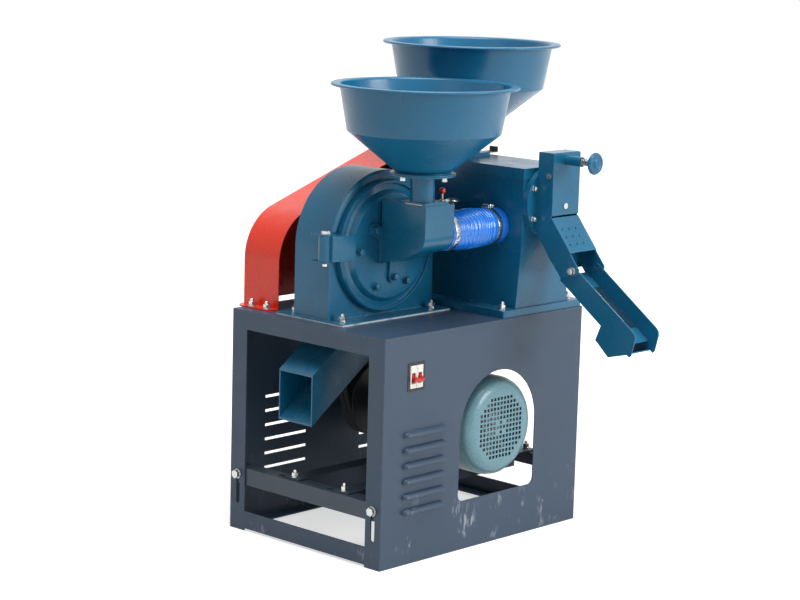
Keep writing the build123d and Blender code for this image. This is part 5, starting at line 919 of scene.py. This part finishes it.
def hose_film():
    """Plasticised PVC: saturated blue, glossy, with a painted highlight on the folds' crests and painted
    shade between them.
    """
    material, tree, shader = new_material("blue_pvc_film")
    place = add(tree, "ShaderNodeTexCoord").outputs["Object"]
    folds = add(tree, "ShaderNodeAttribute", attribute_name="fold").outputs["Fac"]
    # Darker in the troughs between folds (painted shade), paler on the crests (painted highlight).
    tone = blended(tree, folds, HOSE_PAINTED_TROUGH_SHADE, HOSE_BLUE)
    painted_crest_highlight = spread(tree, product(tree, folds, grain(tree, place, 0.02, 3.0)), 0.35, 0.75, 0.0, 0.8)
    tone = blended(tree, painted_crest_highlight, tone, HOSE_PAINTED_HIGHLIGHT)
    tree.links.new(tone, shader.inputs["Base Color"])
    gloss = spread(tree, grain(tree, place, 0.015, 3.0), 0.3, 0.7, 0.16, 0.30)
    tree.links.new(gloss, shader.inputs["Roughness"])
    shader.inputs["Coat Weight"].default_value = 0.5
    shader.inputs["Coat Roughness"].default_value = 0.08
    shader.inputs["IOR"].default_value = 1.53
    normal = add(tree, "ShaderNodeBump", {"Strength": 1.0, "Distance": CREASE_HEIGHT},
                 {"Height": grain(tree, place, FILM_CRINKLE, 3.0, (3.0, 1.0, 1.0))}).outputs[0]
    tree.links.new(normal, shader.inputs["Normal"])
    return material


def fold_height(t, angle):
    """How far the film stands out at a share of the length and an angle, from 0 to 1."""
    wander = 0.30 * sin(angle + 0.7) + 0.22 * sin(2 * angle + 9 * t) + 0.55 * noise.noise(
        Vector((cos(angle) * 1.1, sin(angle) * 1.1, t * 3.0)))
    crest = 0.5 + 0.5 * cos(2 * pi * (HOSE_FOLDS * t + wander))
    strength = 0.62 + 0.38 * noise.noise(Vector((cos(angle) * 1.7, sin(angle) * 1.7, t * 9.0 + 4.0)))
    return crest ** 1.6 * strength


def hose():
    """A tube of rings, folded and bulged on the outside and plain on the inside."""
    low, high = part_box("hose")
    start, end = HOSE_PLAIN
    length = high.x - low.x
    middle_y, middle_z = (low.y + high.y) / 2, (low.z + high.z) / 2
    angles = [2 * pi * k / HOSE_AROUND for k in range(HOSE_AROUND)]
    shape = bmesh.new()
    fold_layer = shape.verts.layers.float.new("fold")
    outer = []
    for i in range(HOSE_RINGS):
        along = length * i / (HOSE_RINGS - 1)
        t = min(max((along - start) / (length - start - end), 0.0), 1.0)
        fade = min(t, 1.0 - t, FADE_SHARE) / FADE_SHARE
        ring = []
        for a in angles:
            fold = fold_height(t, a) * fade
            bulge = HOSE_SWELL * sin(pi * t) ** 0.8 * (0.85 + 0.15 * sin(a))
            crease = CREASE_HEIGHT * sin(7 * a + along * 400) * (1 - fade)
            r = HOSE_R + bulge + FOLD_HEIGHT * (fold - 0.35) * fade + crease
            vertex = shape.verts.new((low.x + along, middle_y + r * cos(a), middle_z + r * sin(a)))
            # The fold's height is kept for the film's painted crest highlight and painted trough shade.
            vertex[fold_layer] = 0.35 + 0.65 * fold
            ring.append(vertex)
        outer.append(ring)
    bore_r = HOSE_R - HOSE_WALL
    inner = [[shape.verts.new((x, middle_y + bore_r * cos(a), middle_z + bore_r * sin(a))) for a in angles]
             for x in (low.x, high.x)]
    chain = outer + inner[::-1]
    for one, two in zip(chain, chain[1:] + chain[:1]):
        for k in range(HOSE_AROUND):
            n = (k + 1) % HOSE_AROUND
            shape.faces.new((one[k], one[n], two[n], two[k]))
    bmesh.ops.recalc_face_normals(shape, faces=shape.faces)
    for face in shape.faces:
        face.smooth = True
    mesh = bpy.data.meshes.new("ribbed_hose")
    shape.to_mesh(mesh)
    shape.free()
    mesh.materials.append(hose_film())
    piece = linked(bpy.data.objects.new("ribbed_hose", mesh))
    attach(piece, "root")
    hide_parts("hose")


hose()


# The hose's clamps: a stainless band with a worm screw in a pressed case, and slots in the band that
# the worm pulls on, drawn as dark blocks of painted shade.
BAND_T = 0.0009
BAND_INSET = 0.0012
BAND_CROWN = 0.0002
BAND_SLOTS = 26
SLOT_L = 0.0062
SLOT_W = 0.0011
SLOT_DEEP = 0.0003
SLOT_ARC = (-200, 220)
CASE_L = 0.016
CASE_H = 0.0075
CASE_FOOT = 0.004
SCREW_R = 0.0033
SCREW_OUT = 0.0075


def slot_tree():
    """Sets small dark blocks, painted shade for the band's slot holes, in a row round a band."""
    tree, source = shape_tree("band_slots", (("Slot Length", SLOT_L),))
    size = add(tree, "ShaderNodeCombineXYZ", {1: SLOT_W, 2: SLOT_DEEP}, {0: source["Slot Length"]}).outputs[0]
    slot = add(tree, "GeometryNodeMeshCube", None, {"Size": size}).outputs[0]
    turn = add(tree, "GeometryNodeInputNamedAttribute", {"Name": "turn"}, data_type="FLOAT_VECTOR").outputs[0]
    rotation = add(tree, "FunctionNodeEulerToRotation", None, {0: turn}).outputs[0]
    placed = add(tree, "GeometryNodeInstanceOnPoints", None,
                 {"Points": source["Geometry"], "Instance": slot, "Rotation": rotation}).outputs[0]
    return end_tree(tree, placed, source["Finish"])


def seats_mesh(name, seats):
    """A mesh of single points, each with the turn and the size of what will be set there."""
    mesh = bpy.data.meshes.new(name)
    mesh.from_pydata([seat["place"] for seat in seats], [], [])
    mesh.attributes.new("turn", "FLOAT_VECTOR", "POINT")
    mesh.attributes.new("across", "FLOAT", "POINT")
    for i, seat in enumerate(seats):
        mesh.attributes["turn"].data[i].vector = seat["turn"]
        mesh.attributes["across"].data[i].value = seat.get("across", 1.0)
    return mesh


BAND_SLOT = slot_tree()
# Near-black finish for the slot blocks: painted shade inside the band's holes.
painted_slot_shade = moulded("painted_slot_shade", "#1A1B1C", 0.6)
band_steel = bare_metal("stainless_band", "#C9CBCC", "#A9ACAE", roughness=0.22, grain_size=0.0010,
                        scratch_height=0.000006, stretch=(1.0, 0.2, 0.2))


def hose_clamp(node, body):
    """The band, the screw's case on top of it, the screw, and the band's slots."""
    low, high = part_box(node)
    band_r = (high.y - low.y) / 2
    centre = Vector(((low.x + high.x) / 2, (low.y + high.y) / 2, low.z + band_r))
    half = (high.x - low.x) / 2 - 0.001
    to_x = Matrix.Translation(centre) @ Matrix.Rotation(radians(90), 4, "Y")
    inner = band_r - BAND_INSET
    outer = inner + BAND_T
    crown = outer + BAND_CROWN
    outline = [Vector(p) for p in ((inner, -half), (outer, -half), (crown, -half + 0.001),
                                   (crown, half - 0.001), (outer, half), (inner, half))]
    band = turned(node + "_band", [outline], to_x, band_steel, 120)
    top = centre.z + outer
    half_case, half_foot = CASE_L / 2, CASE_L / 2 + CASE_FOOT
    case = boxes(node + "_case", [
        ((centre.x - half - 0.0008, centre.y - half_case, top),
         (centre.x + half + 0.0008, centre.y + half_case, top + CASE_H)),
        ((centre.x - half, centre.y - half_foot, top + 0.0002),
         (centre.x + half, centre.y + half_foot, top + 0.0014))], band_steel, 0.0012)
    screw_end = Vector((centre.x, centre.y - half_case - SCREW_OUT, top + CASE_H * 0.55))
    to_y = Matrix.Translation(screw_end) @ Matrix.Rotation(radians(-90), 4, "X")
    screw = turned(node + "_screw", [[Vector(p) for p in (
        (0.0, 0.0), (SCREW_R * 0.85, 0.0), (SCREW_R, 0.0006), (SCREW_R, 0.005), (SCREW_R * 1.35, 0.0055),
        (SCREW_R * 1.35, 0.0068), (SCREW_R * 0.7, 0.0078), (0.0, 0.0078))]], to_y, zinc, 24)
    seats = []
    for i in range(BAND_SLOTS):
        a = radians(SLOT_ARC[0] + SLOT_ARC[1] * i / (BAND_SLOTS - 1))
        outward = Vector((0, cos(a), sin(a)))
        seats.append({"place": centre + outward * crown,
                      "turn": Euler((a - pi / 2, 0, 0)).to_matrix().to_euler()})
    slots = grown(node + "_slots", seats_mesh(node + "_slots", seats), BAND_SLOT, {"Finish": painted_slot_shade})
    for piece in (band, case, screw, slots):
        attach(piece, body)
        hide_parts(node)


hose_clamp("hose_clamp_crusher_end", "door")
hose_clamp("hose_clamp_mill_end", "root")


# The hand wheel of the mill's pressure rod, a small iron casting with a ring groove in its face. It is
# turned on a lathe and painted in teal enamel.
def hand_wheel():
    """The wheel's outline turned about the rod: a boss in front, a ring groove, the rim and a hub."""
    low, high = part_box("pressure_knob")
    r = (high.x - low.x) / 2
    depth = high.y - low.y
    face, rim = depth - 0.003, depth - 0.008
    outline = rounded([(0.0, depth), (0.0085, depth), (0.0105, face + 0.0004), (0.0130, face - 0.0012),
                       (0.0150, face), (r - 0.003, face), (r, face - 0.0035), (r, rim - 0.001),
                       (r - 0.004, rim - 0.0035), (0.0095, rim - 0.0035), (0.008, 0.0), (0.0, 0.0)],
                      [0.0012, 0.0008, 0.0008, 0.0008, 0.0018, 0.0015, 0.0015, 0.0015, 0.001, 0.0004], 4)
    place = Matrix.Translation(((low.x + high.x) / 2, high.y, (low.z + high.z) / 2)) @ Matrix.Rotation(
        radians(90), 4, "X")
    piece = turned("hand_wheel", [outline], place, sheet_teal, 72)
    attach(piece, "pressure_handwheel")
    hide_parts("pressure_knob")


hand_wheel()


# The trough's sieve: a thin steel sheet punched with slanting slots, in teal enamel worn by the rice.
SIEVE_L = 0.118
SIEVE_START = 0.030
SIEVE_T = 0.0008
SLOT_PITCH_X = 0.0061
SLOT_PITCH_Y = 0.0031
CELL_GAP = 0.00002
TROUGH_SLOPE = 35.5


def slot_cell():
    """One cell of the punched sheet: a small plate with a slanting slot through it."""
    half_x, half_y = SLOT_PITCH_X / 2, SLOT_PITCH_Y / 2
    outer = [(-half_x, -half_y), (half_x, -half_y), (half_x, half_y), (-half_x, half_y)]
    inner = [(-0.0023, -0.0012), (0.0017, -0.0004), (0.0023, 0.0012), (-0.0017, 0.0004)]
    mesh = bpy.data.meshes.new("slot_cell")
    points = [(x, y, z) for z in (0.0, SIEVE_T) for ring in (outer, inner) for x, y in ring]
    faces = []
    for i in range(4):
        n = (i + 1) % 4
        faces += [(8 + i, 8 + n, 12 + n, 12 + i), (n, i, 4 + i, 4 + n), (4 + i, 12 + i, 12 + n, 4 + n)]
    mesh.from_pydata(points, [], faces)
    return mesh


def punched_tree(cell):
    """Repeats one cell over a grid, to make a punched sheet."""
    tree, source = shape_tree("punched_sheet", (("Width", 0.07), ("Length", 0.11)),
                              (("Columns", 12), ("Rows", 38)))
    grid = add(tree, "GeometryNodeMeshGrid", None, {
        "Size X": source["Width"], "Size Y": source["Length"], "Vertices X": source["Columns"],
        "Vertices Y": source["Rows"]}).outputs[0]
    one = add(tree, "GeometryNodeObjectInfo", {"Object": cell}).outputs["Geometry"]
    placed = add(tree, "GeometryNodeInstanceOnPoints", None, {"Points": grid, "Instance": one}).outputs[0]
    real = add(tree, "GeometryNodeRealizeInstances", None, {"Geometry": placed}).outputs[0]
    joined = add(tree, "GeometryNodeMergeByDistance", {"Distance": CELL_GAP}, {"Geometry": real}).outputs[0]
    return end_tree(tree, joined, source["Finish"])


def trough_sieve():
    """The punched field and the plain border round it, laid on the trough's slope."""
    low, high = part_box("trough_mesh")
    pivot = joint_place("trough_swing")
    tilt = Matrix.Rotation(radians(TROUGH_SLOPE), 4, "X")
    centre = Vector(((low.x + high.x) / 2, (low.y + high.y) / 2, (low.z + high.z) / 2))
    level = (tilt.inverted() @ (centre - pivot)).z
    columns = int((high.x - low.x) / SLOT_PITCH_X)
    rows = int(SIEVE_L / SLOT_PITCH_Y)
    width, length = (columns - 1) * SLOT_PITCH_X, (rows - 1) * SLOT_PITCH_Y
    cell = linked(bpy.data.objects.new("slot_cell", slot_cell()))
    seed = bpy.data.meshes.new("sieve_seed")
    sheet = grown("trough_sieve", seed, punched_tree(cell), {
        "Columns": columns, "Rows": rows, "Width": width, "Length": length, "Finish": sieve_finish})
    bpy.data.objects.remove(cell)
    place = Matrix.Translation(Vector((centre.x, pivot.y, pivot.z))) @ tilt @ Matrix.Translation(
        (0.0, -SIEVE_START - SIEVE_L / 2, level - SIEVE_T / 2))
    sheet.data.transform(place)
    margin_x = (high.x - low.x - columns * SLOT_PITCH_X) / 2
    margin_y = (SIEVE_L - rows * SLOT_PITCH_Y) / 2
    half_w, half_l = (high.x - low.x) / 2, SIEVE_L / 2
    bars = []
    for side in (-1, 1):
        xs = sorted((side * half_w, side * (half_w - margin_x)))
        bars.append(((xs[0], -half_l, 0.0), (xs[1], half_l, SIEVE_T)))
        ys = sorted((side * half_l, side * (half_l - margin_y)))
        bars.append(((-half_w + margin_x, ys[0], 0.0), (half_w - margin_x, ys[1], SIEVE_T)))
    border = boxes("trough_sieve_border", bars, sieve_finish, 0.0, place)
    for piece in (sheet, border):
        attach(piece, "trough")
        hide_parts("trough_mesh")


sieve_finish = bare_metal("worn_sieve_steel", "#5E8BA0", "#3E6C84", roughness=0.38, grain_size=0.002,
                          scratch_height=0.00001, stretch=(1.0, 0.3, 1.0))
trough_sieve()


# The belt guard: one bent strip with a back plate and two feet, welded up and sprayed in glossy
# orange-red enamel. It is bolted to the table.
# Its pale salmon edges are partly rubbed paint and partly a painted edge highlight.
guard_paint = enamel("orange_red_enamel", "#F0340C", "#E62D09", "#F08A72", roughness=0.26, peel=0.0020,
                     peel_height=0.000014, coat=0.18, dust="#E9B9B0", dust_share=0.12, worn_and_highlit_edge_share=0.45)
dress("belt_guard", guard_paint)


# The bolts: hex heads on plain and spring washers, in bright zinc, or painted over where they hold
# the crusher's ring. Bolts of the table end in a nut with some thread through it.
WASHER_RATIO = 0.62
WASHER_T = 0.115
SPRING_T = 0.13
HEAD_BASE = 0.235
NUT_STUD = 0.42
HEX_TURN = 60
BOLT_TURNS = random.Random(11)


def loose_solids(node):
    """The separate solids of a CAD node, each as the list of its corner points."""
    shape = bmesh.new()
    shape.from_mesh(nodes[node].data)
    bmesh.ops.remove_doubles(shape, verts=shape.verts, dist=MERGE_GAP)
    left = set(shape.verts)
    solids = []
    for start in shape.verts:
        if start not in left:
            continue
        left.remove(start)
        found, waiting = [start], [start]
        while waiting:
            here = waiting.pop()
            for edge in here.link_edges:
                other = edge.other_vert(here)
                if other in left:
                    left.remove(other)
                    found.append(other)
                    waiting.append(other)
        solids.append([v.co.copy() for v in found])
    shape.free()
    return solids


def bolt_seat(points):
    """Where a CAD bolt's washer rests, which way its head points, and its size across flats."""
    low = Vector([min(p[i] for p in points) for i in range(3)])
    high = Vector([max(p[i] for p in points) for i in range(3)])
    size = high - low
    spreads = [(abs(size[(i + 1) % 3] - size[(i + 2) % 3]), i) for i in range(3)]
    axis = min(spreads)[1]
    radius = size[(axis + 1) % 3] / 2
    centre = (low + high) / 2
    wide = [p[axis] for p in points
            if hypot(*(p[i] - centre[i] for i in range(3) if i != axis)) > radius * 0.97]
    washer = (min(wide) + max(wide)) / 2
    way = 1 if high[axis] - washer < washer - low[axis] else -1
    seat = centre.copy()
    seat[axis] = min(wide) if way > 0 else max(wide)
    direction = Vector((0, 0, 0))
    direction[axis] = way
    upright = Vector((0, 0, 1)).rotation_difference(direction)
    spin = Quaternion((0, 0, 1), radians(BOLT_TURNS.uniform(0, HEX_TURN)))
    return {"place": seat, "turn": (upright @ spin).to_euler(), "across": radius / WASHER_RATIO,
            "way": direction}


def bolt_tree():
    """A hex head on two washers at each point, with a stud, in shares of the width across flats."""
    tree, source = shape_tree("hex_bolts", (("Washer Radius", WASHER_RATIO), ("Head Height", 0.5),
                                            ("Stud Length", 0.3)))

    def above(base, size, share=1.0):
        """A height over another one, by a share of a size."""
        node = add(tree, "ShaderNodeMath", {1: share}, {0: size}, operation="MULTIPLY_ADD")
        if isinstance(base, float):
            node.inputs[2].default_value = base
        else:
            tree.links.new(base, node.inputs[2])
        return node.outputs[0]

    def raised(shape, height):
        """A shape moved up by a number or by another node's height."""
        lift = add(tree, "ShaderNodeCombineXYZ")
        if isinstance(height, float):
            lift.inputs[2].default_value = height
        else:
            tree.links.new(height, lift.inputs[2])
        return add(tree, "GeometryNodeTransform", None,
                   {"Geometry": shape, "Translation": lift.outputs[0]}).outputs[0]

    washer = add(tree, "GeometryNodeMeshCylinder", {"Vertices": 28, "Depth": WASHER_T},
                 {"Radius": source["Washer Radius"]}).outputs[0]
    spring = add(tree, "GeometryNodeMeshCylinder",
                 {"Vertices": 24, "Depth": SPRING_T, "Radius": 0.49}).outputs[0]
    head = add(tree, "GeometryNodeMeshCylinder", {"Vertices": 6, "Radius": 0.577},
               {"Depth": source["Head Height"]}).outputs[0]
    chamfer = add(tree, "GeometryNodeMeshCone", {"Vertices": 24, "Radius Top": 0.41, "Radius Bottom": 0.495,
                                                 "Depth": 0.055}).outputs[0]
    stud = add(tree, "GeometryNodeMeshCylinder", {"Vertices": 20, "Radius": 0.29},
               {"Depth": source["Stud Length"]}).outputs[0]
    tip = add(tree, "GeometryNodeMeshCone", {"Vertices": 20, "Radius Top": 0.22, "Radius Bottom": 0.29,
                                             "Depth": 0.06}).outputs[0]
    top = above(HEAD_BASE, source["Head Height"])
    parts = [raised(washer, WASHER_T / 2), raised(spring, 0.17),
             raised(head, above(HEAD_BASE, source["Head Height"], 0.5)), raised(chamfer, top),
             raised(stud, above(top, source["Stud Length"], 0.5)),
             raised(tip, above(top, source["Stud Length"]))]
    joined = add(tree, "GeometryNodeJoinGeometry")
    for part in parts:
        tree.links.new(part, joined.inputs[0])
    turn = add(tree, "GeometryNodeInputNamedAttribute", {"Name": "turn"}, data_type="FLOAT_VECTOR").outputs[0]
    across = add(tree, "GeometryNodeInputNamedAttribute", {"Name": "across"}, data_type="FLOAT").outputs[0]
    rotation = add(tree, "FunctionNodeEulerToRotation", None, {0: turn}).outputs[0]
    placed = add(tree, "GeometryNodeInstanceOnPoints", None, {
        "Points": source["Geometry"], "Instance": joined.outputs[0], "Rotation": rotation,
        "Scale": across}).outputs[0]
    return end_tree(tree, placed, source["Finish"])


BOLTS = bolt_tree()


def set_bolts(name, seats, body, node, material, stud=0.02, head=0.5):
    """One mesh of bolts at their seats, in place of some of a CAD node's bolts."""
    piece = grown(name, seats_mesh(name, seats), BOLTS,
                  {"Finish": material, "Stud Length": stud, "Head Height": head})
    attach(piece, body)
    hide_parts(node)


def by_height(seats):
    """Bolts that stand on the table or a rail, and all the others."""
    upright = [s for s in seats if s["way"].z > 0.5]
    return upright, [s for s in seats if s["way"].z <= 0.5]


standing, others = by_height([bolt_seat(points) for points in loose_solids("machine_bolts")])
set_bolts("table_nuts", standing, "root", "machine_bolts", zinc, stud=NUT_STUD)
set_bolts("outlet_and_flange_bolts", others, "root", "machine_bolts", zinc)
standing, others = by_height([bolt_seat(points) for points in loose_solids("carriage_bolts")])
set_bolts("rail_nuts", standing, "carriage", "carriage_bolts", zinc, stud=NUT_STUD)
set_bolts("slot_bolts", others, "carriage", "carriage_bolts", zinc, stud=0.0, head=0.36)
door_seats = [bolt_seat(points) for points in loose_solids("door_fasteners")]
plate_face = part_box("crusher_door")[0].y - 0.003
bright = [s for s in door_seats if s["way"].y > -0.5 or s["place"].y < plate_face]
coated = [s for s in door_seats if s["way"].y < -0.5 and s["place"].y >= plate_face]
set_bolts("feed_plate_bolts", bright, "door", "door_fasteners", zinc)
set_bolts("stator_bolts", coated, "door", "door_fasteners", cast_teal)
